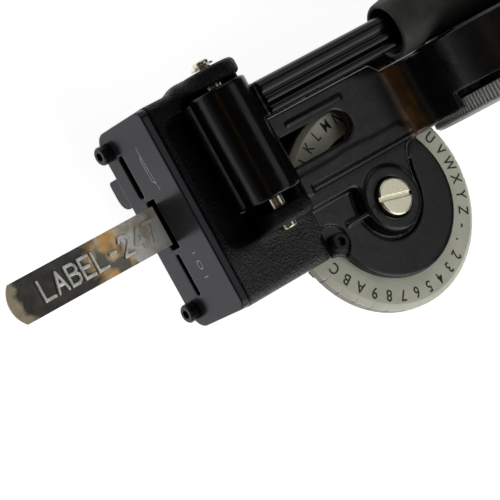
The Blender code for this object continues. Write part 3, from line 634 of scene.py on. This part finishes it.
def lever_field(x, y, z):
    """In the lever's straight frame: a round hub, and a bar with three rounded ridges along its top."""
    hub = both(np.hypot(x, z) - 9.0, span(y, -8.0, 26.0), 0.9)
    slope = outline(x, z, [(-11.0, -2.6), (-9.3, 0.3), (-7.0, 0.3), (-7.0, -2.6)])
    ledge = both(slope, span(y, -7.4, 25.2), 0.25)
    hub = joined(hub, ledge, 0.3)
    bar = panel(y, z, (12.3, -4.0), (22.6, 2.4), 1.2)
    bar = both(bar, span(x, 3.0, 64.0), 0.2)
    solid = joined(hub, bar, 1.5)
    for across, height, radius in ((13.7, 2.45, 1.25), (16.6, 2.45, 1.3), (20.1, 1.25, 2.5)):
        ridge = both(disc(y, z, (across, height), radius), span(x, 10.6, 64.0), 0.5)
        solid = joined(solid, ridge, 0.3)
    solid = cut(solid, np.hypot(x, z) - PIN_BORE)
    roller = np.maximum(disc(x, z, (5.785, -6.248), 2.1), span(y, -2.4, 12.1))
    return cut(solid, roller)


def build_lever():
    """The lever's zero surface, in finer cells where the ridges are, turned up to its rest angle."""
    points, faces = skin(lever_field, ticks((-11.2, 9.6, 0.4), (9.6, 13.6, 0.33), (13.6, 64.6, 0.8)),
                         ticks((-8.6, 11.6, 0.6), (11.6, 23.4, 0.3), (23.4, 26.6, 0.5)),
                         ticks((-9.6, 1.4, 0.6), (1.4, 4.6, 0.27), (4.6, 9.6, 0.4)))
    lever = put_mesh("lever_casting", raised(points), faces, GLOSS)
    belongs(lever, "lever", "black_casting", "lever_arm")


def superellipse(angle, half_y, half_z, power):
    """Points round |y/a|^n + |z/b|^n = 1."""
    c, s = np.cos(angle), np.sin(angle)
    return (np.sign(c) * np.abs(c) ** (2 / power) * half_y, np.sign(s) * np.abs(s) ** (2 / power) * half_z)


def sleeve(stations, bore, power=2.3, rows=260, columns=96):
    """A soft grip along X: superellipse sections whose middle and half sizes follow smoothed stations.

    The surface starts in the bore, comes out over a rounded lip at the mouth, and runs to the closed end.
    stations: X, middle Y, middle Z, half width, half height.
    """
    stations = np.asarray(stations, float)
    start, end = stations[0, 0], stations[-1, 0]
    t = np.linspace(0, 1, rows)
    x = start + (end - start) * t
    smooth = np.array([np.interp(x, stations[:, 0], stations[:, k]) for k in range(1, 5)])
    width = max(3, rows // 30)
    kernel = np.hanning(2 * width + 3)
    kernel /= kernel.sum()
    padded = np.pad(smooth, ((0, 0), (len(kernel) // 2, len(kernel) // 2)), mode="edge")
    smooth = np.array([np.convolve(row, kernel, mode="valid") for row in padded])
    angle = np.linspace(0, 2 * math.pi, columns, endpoint=False)
    lip, lip_power = 0.8, 2.1
    rings = []
    for depth in (5.5, 3.5, 1.8):
        y, z = superellipse(angle, bore, bore, lip_power)
        rings.append(np.stack([np.full(columns, start + depth), smooth[0, 0] + y, smooth[1, 0] + z], axis=-1))
    for turn in np.linspace(0, math.pi, 9):
        size = bore + lip - lip * math.cos(turn)
        y, z = superellipse(angle, size, size, lip_power)
        rings.append(np.stack([np.full(columns, start + lip - lip * math.sin(turn)), smooth[0, 0] + y,
                               smooth[1, 0] + z], axis=-1))
    close = np.clip((x - end + 7.0) / 7.0, 0, 1)
    shrink = np.sqrt(np.maximum(1 - close ** 2, 0.0004))
    begin = np.clip((x - start - lip) / 3.5, 0, 1)
    first = bore + 2 * lip
    for i in np.nonzero(x >= start + lip + 0.3)[0]:
        half_y = first + (smooth[2, i] - first) * math.sin(begin[i] * math.pi / 2)
        half_z = first + (smooth[3, i] - first) * math.sin(begin[i] * math.pi / 2)
        y, z = superellipse(angle, half_y * shrink[i], half_z * shrink[i],
                            lip_power + (power - lip_power) * begin[i])
        rings.append(np.stack([np.full(columns, x[i]), smooth[0, i] + y, smooth[1, i] + z], axis=-1))
    return np.array(rings)


def build_grips():
    """Two sleeves: the lever's in its own straight frame, then turned up, and the fixed handle's level."""
    stations = [(GRIP_START, 17.6, 0.0, 8.6, 8.6), (60.0, 18.0, 0.0, 8.7, 8.7), (66.0, 18.8, 0.0, 9.2, 9.0),
                (80.0, 19.9, 0.0, 10.3, 10.0), (110.0, 20.5, 0.0, 10.9, 10.6), (165.0, 20.2, 0.0, 10.6, 10.3),
                (198.0, 20.2, 0.0, 11.0, 10.5), (213.0, 20.0, 0.0, 10.6, 10.0)]
    points, faces = capped(sleeve(stations, 6.9))
    grip = put_mesh("lever_sleeve", raised(points), faces[:, ::-1], RUBBER)
    belongs(grip, "lever", "rubber", "lever_grip")
    stations = [(134.0, 13.6, 10.4, 7.6, 8.6), (140.0, 15.2, 10.4, 8.6, 9.4), (146.0, 16.8, 10.4, 9.3, 10.1),
                (160.0, 17.6, 10.4, 9.6, 10.3), (195.0, 17.6, 10.4, 9.0, 10.0),
                (222.0, 17.6, 10.4, 9.7, 10.3), (236.5, 17.6, 10.4, 9.2, 9.8)]
    points, faces = capped(sleeve(stations, 5.6))
    grip = put_mesh("handle_sleeve", points, faces[:, ::-1], RUBBER)
    belongs(grip, "frame", "rubber", "fixed_grip")


# Main frame

def frame_field(x, y, z):
    """Deck, guard, walls, tape drum and base tongues in one casting."""
    step = [(78.5, WALL_LEFT), (76.0, 11.9), (FRAME_FRONT, 11.9)]
    deck = outline(x, y, [(FRAME_FRONT, WALL_RIGHT), (DECK_REAR, WALL_RIGHT), (DECK_REAR, WALL_LEFT)] + step)
    wall = outline(x, y, [(FRAME_FRONT, 9.6), (74.0, 9.6), (76.0, 7.1), (WALL_REAR, 7.1),
                          (WALL_REAR, WALL_LEFT)] + step)
    lug = panel(x, y, (30.0, -31.2), (41.5, -12.0), 1.5)
    guard = np.maximum(joined(disc(x, y, AXLE, 22.7), lug, 4.0), FRAME_FRONT - x)
    land = panel(x, y, (30.0, -16.5), (77.5, -8.0), 0.3)
    arm = outline(x, y, [(53.0, -8.0), (53.0, AXLE[1]), (70.6, AXLE[1]), (72.8, -18.4), (74.2, -14.0),
                         (74.2, -8.0)])
    boss = disc(x, y, AXLE, 9.6)
    island = joined(arm, boss, 3.0)
    moat = np.abs(island - 1.3) - 0.65
    rise = joined(island, np.maximum(np.maximum(land, FRAME_FRONT - x), x - 60.0), 3.2)
    rise = joined(rise, np.maximum(span(y, WALL_RIGHT, -8.0), x - DECK_REAR), 5.0)
    rise = np.maximum(rise, span(x, FRAME_FRONT, DECK_REAR))

    # The deck over the dial, with the land that rises round the axle, the groove and the web.
    solid = both(deck, span(z, 42.0, HEAD_TOP), 0.5)
    solid = joined(solid, both(guard, span(z, CUTAWAY, 43.3), 0.9))
    upper = both(rise, span(z, CUTAWAY + 0.1, HEAD_TOP - 0.35), 0.9)
    solid = joined(solid, upper, 1.6)
    solid = joined(solid, both(boss, span(z, CUTAWAY, 46.1), 0.8), 0.6)
    moat = np.maximum(np.maximum(moat, 42.0 - z), y + 17.2)
    solid = cut(solid, moat, 0.5)
    web = np.maximum(span(y, -25.7, -24.5), z - (43.9 + (x - 44.6) * 0.25))
    web = np.maximum(np.maximum(web, span(x, 44.4, 54.0)), 42.0 - z)
    solid = joined(solid, web, 0.7)
    solid = cut(solid, np.maximum(disc(x, y, RECESS, RECESS_RADIUS), RECESS_FLOOR - z), 0.5)

    # The walls, the arm under the dial, the rear block and the flanges beside the grip.
    solid = joined(solid, np.maximum(wall, span(z, 2.5, 42.5)))
    right_wall = panel(x, y, (FRAME_FRONT, WALL_RIGHT), (WALL_REAR, -10.0))
    solid = joined(solid, both(right_wall, span(z, 2.5, 43.0), 0.3))
    lower_arm = outline(x, y, bend(AXLE, 9.0, 180, 180, 12) + [(70.0, -10.2), (44.5, -10.2), (44.5, -29.6)])
    solid = joined(solid, both(lower_arm, span(z, 14.0, 22.6), 0.8))
    rear_block = panel(x, y, (100.0, WALL_RIGHT), (WALL_REAR, WALL_LEFT))
    solid = joined(solid, both(rear_block, span(z, 2.5, 30.0), 0.6))
    flange = panel(x, y, (62.0, 10.6), (100.0, 15.5), 2.0)
    flange = joined(flange, panel(x, y, (80.0, 8.2), (100.0, 14.0)))
    solid = joined(solid, both(flange, span(z, 16.0, 32.0), 1.0))
    solid = joined(solid, both(panel(x, y, (97.0, 8.2), (110.0, 15.5), 2.0), span(z, 23.0, 32.0), 1.0))

    # The drum's shell, which the deck climbs in one curve, the base tongues and the screw pillars.
    drum = disc(x, z, DRUM, 30.0)
    start, radius = 77.5, 8.2
    hollow = disc(x, z, (start, HEAD_TOP + radius), radius)
    root = np.maximum(panel(x, z, (start, 42.5), (96.0, HEAD_TOP + radius - 0.1)), -hollow)
    shell = joined(root, drum, 0.4)
    solid = joined(solid, both(shell, span(y, WALL_RIGHT, WALL_LEFT), 0.9))
    for side in (-1, 1):
        tongue = panel(x, side * y, (22.0, 9.9), (44.0, 29.8), 2.0)
        solid = joined(solid, both(tongue, span(z, 14.8, 18.5), 0.5))
    pillars = [(42.0, -6.9), (42.0, 6.9), (96.0, -6.9), (96.0, 4.0)]
    for place in pillars:
        solid = joined(solid, both(disc(x, y, place, 3.6), span(z, 2.5, 9.0), 0.3))

    # The window, the grooves and the rail beside it.
    window = panel(x, y, (36.4, -3.7), (61.0, 5.4), 4.5)
    window = joined(window, panel(x, y, (36.4, -3.7), (50.0, 5.4), 0.6))
    solid = cut(solid, np.maximum(window, 40.0 - z), 0.9)
    for middle in (-10.85, -12.15):
        groove = np.hypot(y - middle, z - (HEAD_TOP + 0.05)) - 0.42
        solid = cut(solid, np.maximum(groove, span(x, 38.5, 78.2)), 0.2)
    rail = both(span(y, 7.2, 8.3), span(z, 45.0, HEAD_TOP + 0.45), 0.25)
    solid = joined(solid, both(rail, span(x, 40.5, 62.0), 0.25), 0.3)

    # The room for the dial, the drum and the mechanism, and the bores.
    slot = np.maximum(np.maximum(span(x, 34.0, 90.9), span(y, -14.0, -9.0)), span(z, 23.0, CUTAWAY))
    solid = cut(solid, slot)
    solid = cut(solid, np.maximum(disc(x, y, AXLE, 5.2), z - 50.0))
    solid = cut(solid, np.maximum(disc(x, y, AXLE, 6.1), 44.5 - z), 0.3)
    solid = cut(solid, np.maximum(disc(x, y, (AXLE[0] - 13.0, AXLE[1]), 1.8), span(z, 15.0, 24.0)))
    solid = cut(solid, np.maximum(disc(x, z, (44.0, 15.0), 2.15), span(y, -14.0, 14.0)))
    solid = cut(solid, np.maximum(disc(x, z, DRUM, 28.6), span(y, -16.0, 6.6)), 0.3)
    solid = cut(solid, np.maximum(disc(x, z, DRUM, 4.25), 5.0 - y))
    notch = np.maximum(np.maximum(80.0 - x, y + 7.2), 61.6 - z)
    solid = cut(solid, notch, 0.5)
    solid = cut(solid, np.maximum(np.maximum(span(x, 86.0, 104.0), span(y, -9.0, 7.05)), span(z, 21.5, 40.0)))
    solid = cut(solid, np.maximum(np.maximum(span(x, 34.3, 46.0), span(y, -14.0, -9.5)), span(z, 19.2, 42.0)))
    solid = cut(solid, np.maximum(disc(x, y, CORNER_SCREW, 3.1), 42.9 - z), 0.3)
    solid = cut(solid, disc(x, y, CORNER_SCREW, 1.7))
    for height in (23.8, 32.5):
        solid = cut(solid, np.maximum(disc(x, z, (94.0, height), 1.65), span(y, -14.0, 10.0)))
    for place in pillars:
        solid = cut(solid, np.maximum(disc(x, y, place, 1.65), z - 8.0))
    for side in (-1, 1):
        solid = cut(solid, np.maximum(disc(x, side * y, TONGUE_SCREW, 1.7), z - 20.0))
    for across in (-8.2, 6.0):
        solid = cut(solid, np.maximum(disc(y, z, (across, 13.0), 1.65), 101.0 - x))
    return solid


def build_frame():
    """The casting's zero surface, in finer cells on the deck and round the window."""
    points, faces = skin(frame_field,
                         ticks((21.4, 34.9, 1.1), (34.9, 84.0, 0.42), (84.0, 108.6, 0.8),
                               (108.6, 146.4, 1.0)),
                         ticks((-48.6, -13.0, 0.5), (-13.0, -6.4, 0.32), (-6.4, 12.6, 0.5),
                               (12.6, 30.4, 1.2)),
                         ticks((1.9, 39.0, 1.2), (39.0, 46.9, 0.32), (46.9, 62.4, 0.7), (62.4, 84.6, 0.9)))
    casting = put_mesh("frame_casting", points, faces, ENAMEL)
    belongs(casting, "frame", "black_casting", "main_frame")


# Dial

def sort_text(body, size, extrude):
    """One character as a mesh, its middle at zero, in millimetres."""
    curve = bpy.data.curves.new("character", "FONT")
    curve.body = body
    curve.size = size
    curve.extrude = extrude
    curve.offset = 0.006 * size
    curve.align_x = "CENTER"
    curve.align_y = "CENTER"
    holder = bpy.data.objects.new("character", curve)
    bpy.context.scene.collection.objects.link(holder)
    bpy.context.view_layer.update()
    mesh = bpy.data.meshes.new_from_object(holder)
    bpy.data.objects.remove(holder)
    bpy.data.curves.remove(curve)
    mesh.calc_loop_triangles()
    points = np.array([v.co for v in mesh.vertices], float).reshape(-1, 3)
    faces = np.array([t.vertices for t in mesh.loop_triangles], np.int32).reshape(-1, 3)
    bpy.data.meshes.remove(mesh)
    return points, faces


def character_turn(angle):
    """Place within a character's share of the circle, from -0.5 to 0.5, zero at each character."""
    return (angle * LETTERS / (2 * math.pi) + 0.5) % 1.0 - 0.5


def build_dial():
    """The ring, the dark annulus inside its letters, and the letters, a 36th of the circle apart."""
    rim, top = DIAL_RADIUS, DIAL_TOP
    profile = eased([(8.8, top - 3.0, 0), (21.0, top - 3.0, 0), (21.0, DIAL_BOTTOM, 0.3),
                     (rim - 2.6, DIAL_BOTTOM, 0.5), (rim, top - 4.3, 0.3), (rim, top - 3.5, 0),
                     (rim, top - 3.3, 0), (rim, top - 1.4, 0.4), (rim - 1.6, top, 0.7), (22.0, top, 0),
                     (8.8, top, 0)])
    outer = profile[:, 0] > 28.0

    def notches(angle, radius, height):
        """The rim drops back by a smooth pulse of the angle, once per character, and is knurled between."""
        slit = np.exp(-(character_turn(angle) / 0.04) ** 4)
        knurl = 0.02 * np.cos(angle * LETTERS * 6)
        reach = np.where(outer[None, :] & (height < top - 0.4) & (height > top - 3.4), 1.0, 0.0)
        return radius - reach * (0.2 * slit + knurl * (1 - slit)), height
    points, faces = spun(profile, AXLE, "Z", LETTERS * 48, notches)
    ring = put_mesh("letter_ring", points, faces, RIM, 40)
    belongs(ring, "dial", "dial_plastic", "dial_ring")
    well = eased([(8.9, top - 0.5, 0), (22.3, top - 0.5, 0), (22.3, top + 0.14, 0.1), (8.9, top + 0.14, 0)])
    points, faces = spun(well, AXLE, "Z", 144)
    belongs(put_mesh("dial_middle", points, faces, DARK, 40), "dial", "dial_plastic")
    places, sides, total = [], [], 0
    for index, letter in enumerate(CHARACTERS):
        shape, tris = sort_text(letter, 4.75 if letter not in "-." else 5.0, 0.06)
        shape[:, 0] *= 0.84
        bearing = math.radians(90.0 - 360.0 / LETTERS * index)
        outward = np.array((math.cos(bearing), math.sin(bearing), 0.0))
        across = np.array((math.sin(bearing), -math.cos(bearing), 0.0))
        middle = np.array((AXLE[0], AXLE[1], top + 0.03)) + outward * 27.3
        places.append(middle + shape[:, :1] * across + shape[:, 1:2] * outward + shape[:, 2:] * (0, 0, 1))
        sides.append(tris + total)
        total += len(shape)
    letters = put_mesh("dial_characters", np.concatenate(places), np.concatenate(sides), INK, 30)
    belongs(letters, "dial", "dial_plastic")


def build_fingers():
    """Two discs of spring steel under the ring, each with one finger per character, finished near black so
    that what shows of them is painted shade.
    """
    bore, root, tip = 9.0, 17.0, 24.8

    def fingers(angle, radius, height):
        """Past the root circle the disc falls back between the fingers."""
        gap = np.clip((np.abs(character_turn(angle)) - 0.28) / 0.04, 0, 1)
        return np.where(radius > root, radius - gap * (radius - root), radius), height
    parts = []
    for low, high in ((24.2, 27.0), (30.3, 32.6)):
        profile = eased([(bore, low, 0), (root - 0.5, low, 0), (tip, low, 0.3),
                         (tip, high, 0.3), (root - 0.5, high, 0), (bore, high, 0)])
        parts.append(spun(profile, AXLE, "Z", LETTERS * 24, fingers))
    points, faces = together(parts)
    # Near black: the discs' edges that show under the ring are painted shade.
    discs = put_mesh("finger_discs", points, faces, BLACK_FINISH_AND_SHADE, 40)
    belongs(discs, "dial", "spring_steel", "punch_disc", "die_disc")


def axle_field(x, y, z):
    """A round shaft under a wider head with an eased rim and a straight slot across its top."""
    shaft = both(disc(x, y, AXLE, 4.8), span(z, 13.0, 45.5), 0.3)
    head = both(disc(x, y, AXLE, 5.55), span(z, 44.9, 47.6), 0.55)
    turn = math.radians(-13.0)
    side = -(x - AXLE[0]) * math.sin(turn) + (y - AXLE[1]) * math.cos(turn)
    return cut(joined(shaft, head), np.maximum(np.abs(side) - 0.6, 46.5 - z), 0.12)


def build_axle():
    """The axle's zero surface, in fine cells for the slot's edges."""
    lines = [ticks((middle - 5.9, middle + 5.9, 0.16)) for middle in AXLE]
    points, faces = skin(axle_field, *lines, ticks((12.6, 44.4, 2.6), (44.4, 48.0, 0.16)))
    axle = put_mesh("slotted_axle", points, faces, CREAM)
    belongs(axle, "frame", "nickel", "dial_axle")


# Thumb wheel

def build_wheel():
    """A disc with a raised border and a small lip, its rim cut with fine rounded ribs."""
    low, high, teeth = -15.1, -9.3, 152
    profile = eased([(4.15, low + 0.6, 0), (22.0, low + 0.6, 0.4), (24.0, low, 0.4), (27.2, low, 0.4),
                     (28.2, low + 0.9, 0.2), (28.2, low + 1.4, 0.1), (27.8, low + 1.5, 0.1),
                     (27.8, high, 0.3), (4.15, high, 0)], 3)

    def ribs(angle, radius, height):
        """The rim between its two lips rises and falls with the angle: one rounded rib per tooth."""
        wave = np.abs(np.sin(angle * teeth / 2)) ** 0.7
        band = np.clip((radius - 27.0) / 0.6, 0, 1) * np.clip((height - (low + 1.3)) / 0.3, 0, 1)
        return radius + band * (0.35 * wave - 0.62 * (1 - wave)), height
    points, faces = spun(profile, DRUM, "Y", teeth * 8, ribs)
    wheel = put_mesh("ribbed_wheel", points, faces[:, ::-1], PALE, 45)
    belongs(wheel, "spool", "wheel_plastic", "thumb_wheel")


# Tape

STROKES = {
    "L": [[(0, 7), (0, 0), (4, 0)]],
    "A": [[(0, 0), (2, 7), (4, 0)], [(0.8, 2.4), (3.2, 2.4)]],
    "B": [[(0, 0), (0, 7), (2.8, 7), (3.8, 6), (3.8, 4.6), (2.8, 3.7), (0, 3.7)],
          [(2.8, 3.7), (4, 2.8), (4, 1), (2.9, 0), (0, 0)]],
    "E": [[(4, 7), (0, 7), (0, 0), (4, 0)], [(0, 3.6), (3.2, 3.6)]],
    "-": [[(0.8, 3.4), (3.2, 3.4)]],
    "2": [[(0, 5.6), (0.7, 6.8), (2, 7), (3.4, 6.6), (4, 5.2), (3.4, 3.8), (0, 0), (4, 0)]],
    "4": [[(3.1, 0), (3.1, 7), (0, 2.2), (4.2, 2.2)]],
    "7": [[(0, 7), (4, 7), (1.6, 0)]],
}


def stroke_distance(x, y):
    """Distance to the nearest stroke of the label, in millimetres on the tape."""
    wide, tall, middle = 0.82, 0.80, 3.5
    near = np.full(np.broadcast(x, y).shape, 1e3)
    for index, letter in enumerate(TAPE_LABEL):
        start = LABEL_START + index * LABEL_PITCH
        for line in STROKES[letter]:
            for (a0, b0), (a1, b1) in zip(line, line[1:]):
                x0, y0 = start + a0 * wide, (b0 - middle) * tall
                x1, y1 = start + a1 * wide, (b1 - middle) * tall
                da, db = x1 - x0, y1 - y0
                t = np.clip(((x - x0) * da + (y - y0) * db) / (da * da + db * db), 0, 1)
                near = np.minimum(near, np.hypot(x - x0 - t * da, y - y0 - t * db))
    return near


def build_tape():
    """A strip as two sheets of one grid: along by across, its front end an arc, its letters pressed up."""
    half, bow, front, rear = 6.0, 2.6, -53.8, 112.0
    radius = (half ** 2 + bow ** 2) / (2 * bow)
    lettered = 60.0 / 170.0
    shares = np.concatenate([np.linspace(0, 1, 420) * lettered,
                             lettered + (1 - lettered) * np.linspace(0, 1, 41)[1:]])
    across = np.linspace(-half, half, 91)
    y = np.repeat(across[None, :], len(shares), 0)
    nose = front + radius - np.sqrt(radius ** 2 - across ** 2)
    x = nose[None, :] + shares[:, None] * (rear - nose[None, :])
    near = stroke_distance(x, y)
    far = np.clip((near - 0.36) / 0.32, 0, 1)
    lift = EMBOSS * (1 - far ** 2 * (3 - 2 * far))
    top = np.stack([x, y, TAPE_HIGH + lift], axis=-1)
    under = np.stack([x, y, TAPE_LOW + lift * 0.9], axis=-1)
    rows, columns = x.shape
    faces = grid_faces(rows, columns, closed=False)
    count = rows * columns
    rim = np.concatenate([np.arange(columns), np.arange(1, rows) * columns + columns - 1,
                          (rows - 1) * columns + np.arange(columns - 2, -1, -1),
                          np.arange(rows - 2, 0, -1) * columns])
    after = np.roll(rim, -1)
    side = np.stack([rim, after, after + count, rim + count], axis=-1)
    points = np.concatenate([top.reshape(-1, 3), under.reshape(-1, 3)])
    faces = np.concatenate([faces[:, ::-1], faces + count, side])
    strip = put_mesh("embossed_strip", points, faces, TAPE, 50)
    shade = strip.data.attributes.new("pressed", "FLOAT", "POINT")
    shade.data.foreach_set("value", np.tile(lift.ravel(), 2).astype(np.float32) / EMBOSS)
    belongs(strip, "tape", "tape_metal", "tape_strip")


def rolled_strip():
    """Thin stainless strip with a tarnish: dark brown, tan at the tip, and amber clouds toward the plate that
    are partly tarnish and partly a painted reflection of a warm room.

    It is bright on the letters' raised faces, painted white as a reflection before the slot, and painted
    black as shade inside.
    """
    made = finish("tarnished_strip_with_painted_light", (0.07, 0.07, 0.06), 0.34, 0.5)
    tree = made.node_tree.nodes
    lengthways = axes_of(made)["X"]
    along = worked(made, "MULTIPLY_ADD", noise(made, 6.5, 3.0, 0.6), 16.0, lengthways)
    patch = spread(made, noise(made, 5.2, 1.0, 0.4), 0.45, 0.58, 0.0, 1.0)
    fine = spread(made, noise(made, 3.0, 2.0, 0.5), 0.38, 0.64, 0.0, 1.0)
    tone = mixed(made, fine, (0.060, 0.058, 0.050), (0.088, 0.084, 0.070))
    tone = mixed(made, spread(made, along, -112.0, -109.6, 1.0, 0.0), tone, (0.50, 0.43, 0.29))
    # Amber clouds: partly tarnish, partly a painted reflection of a warm room.
    amber = mixed(made, patch, (0.20, 0.18, 0.15), mixed(made, fine, (0.85, 0.47, 0.15), (0.85, 0.68, 0.42)))
    tone = mixed(made, spread(made, along, -90.0, -84.0, 0.0, 1.0), tone, amber)
    # Painted reflection: white before the slot, where the metal sheen is also taken away below.
    painted_white_reflection = mixed(made, worked(made, "MULTIPLY", patch, fine), (1.0, 1.0, 0.95), (0.66, 0.58, 0.44))
    tone = mixed(made, spread(made, along, -76.5, -73.5, 0.0, 1.0), tone, painted_white_reflection)
    raised_part = tree.new("ShaderNodeAttribute")
    raised_part.attribute_name = "pressed"
    pressed = raised_part.outputs["Fac"]
    # Painted shade: a dark rim on the slopes round each pressed letter.
    foot = worked(made, "MULTIPLY", spread(made, pressed, 0.01, 0.12, 0.0, 0.75),
                  spread(made, pressed, 0.25, 0.5, 1.0, 0.0))
    tone = mixed(made, foot, tone, (0.07, 0.06, 0.045))
    worn = mixed(made, fine, (0.96, 0.96, 0.90), (0.66, 0.66, 0.61))
    tone = mixed(made, spread(made, pressed, 0.4, 0.8, 0.0, 1.0), tone, worn)
    # Painted shade: black from the plate's face on, inside the slot.
    inside = spread(made, lengthways, -70.25, -69.95, 0.0, 1.0)
    base(made, mixed(made, inside, tone, (0.002, 0.002, 0.002)))
    shader = tree["Principled BSDF"]
    link(made, spread(made, along, -76.5, -73.5, 0.5, 0.0), shader.inputs["Metallic"])
    roughness(made, spread(made, noise(made, 2.0, 4.0), 0.3, 0.7, 0.26, 0.42))
    bumps(made, (noise(made, 0.3, 3.0, 0.6, (0.08, 1.0, 1.0)), 0.004), (noise(made, 6.0), 0.12))
    return made


TAPE = rolled_strip()


# The lever's pin

def build_pin():
    """A turned pin with eased ends and a groove for its clip."""
    profile = eased([(0.0, -17.5, 0), (2.4, -17.5, 0.5), (2.4, 32.6, 0.1), (1.8, 32.6, 0), (1.8, 33.4, 0),
                     (2.4, 33.4, 0.1), (2.4, 34.6, 0.5), (0.0, 34.6, 0)])
    points, faces = spun(profile, PIVOT, "Y", 64)
    pin = put_mesh("hinge_pin", points, faces[:, ::-1], NICKEL, 40)
    belongs(pin, "frame", "nickel", "pivot_pin")


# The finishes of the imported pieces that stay

SLOT_LOOK = {
    "black_casting": ENAMEL, "grey_plate": PLATE, "black_screw": BLACK_FINISH_AND_SHADE, "steel": STEEL, "nickel": NICKEL,
    "dial_plastic": SAGE, "wheel_plastic": PALE, "rubber": RUBBER, "spring_steel": SPRING, "tape_metal": TAPE,
    "brass": BRASS,
}
slots = {row["node"]: row["material_slot"] for row in frame["record"]["subparts"]}
for name, node in frame["nodes"].items():
    node.data.materials.clear()
    node.data.materials.append(SLOT_LOOK[slots[name]])

build_head()
build_plate()
build_marks()
build_lever()
build_grips()
build_frame()
build_dial()
build_fingers()
build_axle()
build_wheel()
build_tape()
build_pin()


# Camera: over the head's top, tilted to the front and rolled.

def add_camera():
    """A long lens, 0.7 m from the head's top."""
    tilt, roll, distance = math.radians(33.14), math.radians(28.77), 0.700
    back = Vector((-math.sin(tilt), 0.0, math.cos(tilt)))
    along = Vector((math.cos(tilt), 0.0, math.sin(tilt)))
    left = Vector((0.0, 1.0, 0.0))
    right = math.cos(roll) * along - math.sin(roll) * left
    up = math.sin(roll) * along + math.cos(roll) * left
    aim = Vector(to_frame((20.5, 0.6, 46.0)))
    lens = bpy.data.cameras.new("camera")
    lens.sensor_width = 36.0
    lens.lens = 182.95
    lens.shift_x = 0.00918
    lens.shift_y = -0.14536
    camera = bpy.data.objects.new("camera", lens)
    basis = Matrix((right, up, back)).transposed().to_4x4()
    basis.translation = aim + back * distance
    camera.matrix_world = basis
    bpy.context.scene.collection.objects.link(camera)
    bpy.context.scene.camera = camera


def add_card(name, middle, aim, width, height, power, colour=(1.0, 1.0, 1.0)):
    """A soft box: a rectangle of light at a place in tool millimetres, facing a point."""
    lamp = bpy.data.lights.new(name, "AREA")
    lamp.shape = "RECTANGLE"
    lamp.size, lamp.size_y = width * MM, height * MM
    lamp.energy = power
    lamp.color = colour
    card = bpy.data.objects.new(name, lamp)
    place, target = Vector(to_frame(middle)), Vector(to_frame(aim))
    facing = (target - place).to_track_quat("-Z", "Y").to_matrix().to_4x4()
    card.matrix_world = Matrix.Translation(place) @ facing
    card.visible_camera = False
    bpy.context.scene.collection.objects.link(card)


def add_stage():
    """A pale floor that glows a little, as a light table does, and a dim room."""
    size = 3.0
    mesh = bpy.data.meshes.new("floor")
    corners = [(-size, -size, 0), (size, -size, 0), (size, size, 0), (-size, size, 0)]
    mesh.from_pydata(corners, [], [(0, 1, 2, 3)])
    floor = bpy.data.objects.new("floor", mesh)
    pale = finish("pale_floor", (0.9, 0.9, 0.9), 0.9, Emission_Strength=0.85)
    pale.node_tree.nodes["Principled BSDF"].inputs["Emission Color"].default_value = (1.0, 1.0, 1.0, 1.0)
    mesh.materials.append(pale)
    bpy.context.scene.collection.objects.link(floor)
    world = bpy.data.worlds.new("world")
    world.use_nodes = True
    world.node_tree.nodes["Background"].inputs[0].default_value = (1, 1, 1, 1)
    world.node_tree.nodes["Background"].inputs[1].default_value = 0.035
    bpy.context.scene.world = world
    bpy.context.scene.view_settings.view_transform = "Standard"


def aimed(name, zenith, bearing, distance, width, height, radiance, colour=(1.0, 1.0, 1.0)):
    """A card seen from the head's top at a zenith angle and a bearing in degrees, bearing 0 to the rear.

    A card's power is its radiance times pi times its area.
    """
    lean, turn = math.radians(zenith), math.radians(bearing)
    aim = np.array((40.0, 0.0, 46.0))
    way = np.array((math.sin(lean) * math.cos(turn), math.sin(lean) * math.sin(turn), math.cos(lean)))
    power = radiance * math.pi * width * height * MM * MM
    add_card(name, aim + way * distance, aim, width, height, power, colour)


add_camera()
add_stage()
aimed("rear_box", 28.0, -14.0, 700.0, 420.0, 300.0, 0.72)
aimed("left_box", 58.0, 80.0, 600.0, 560.0, 520.0, 0.65)
aimed("right_box", 56.0, -78.0, 600.0, 560.0, 520.0, 1.9)
aimed("front_box", 82.0, 180.0, 800.0, 900.0, 260.0, 0.15)
aimed("amber_card", 38.0, 180.0, 700.0, 500.0, 60.0, 0.45, (1.0, 0.45, 0.1))
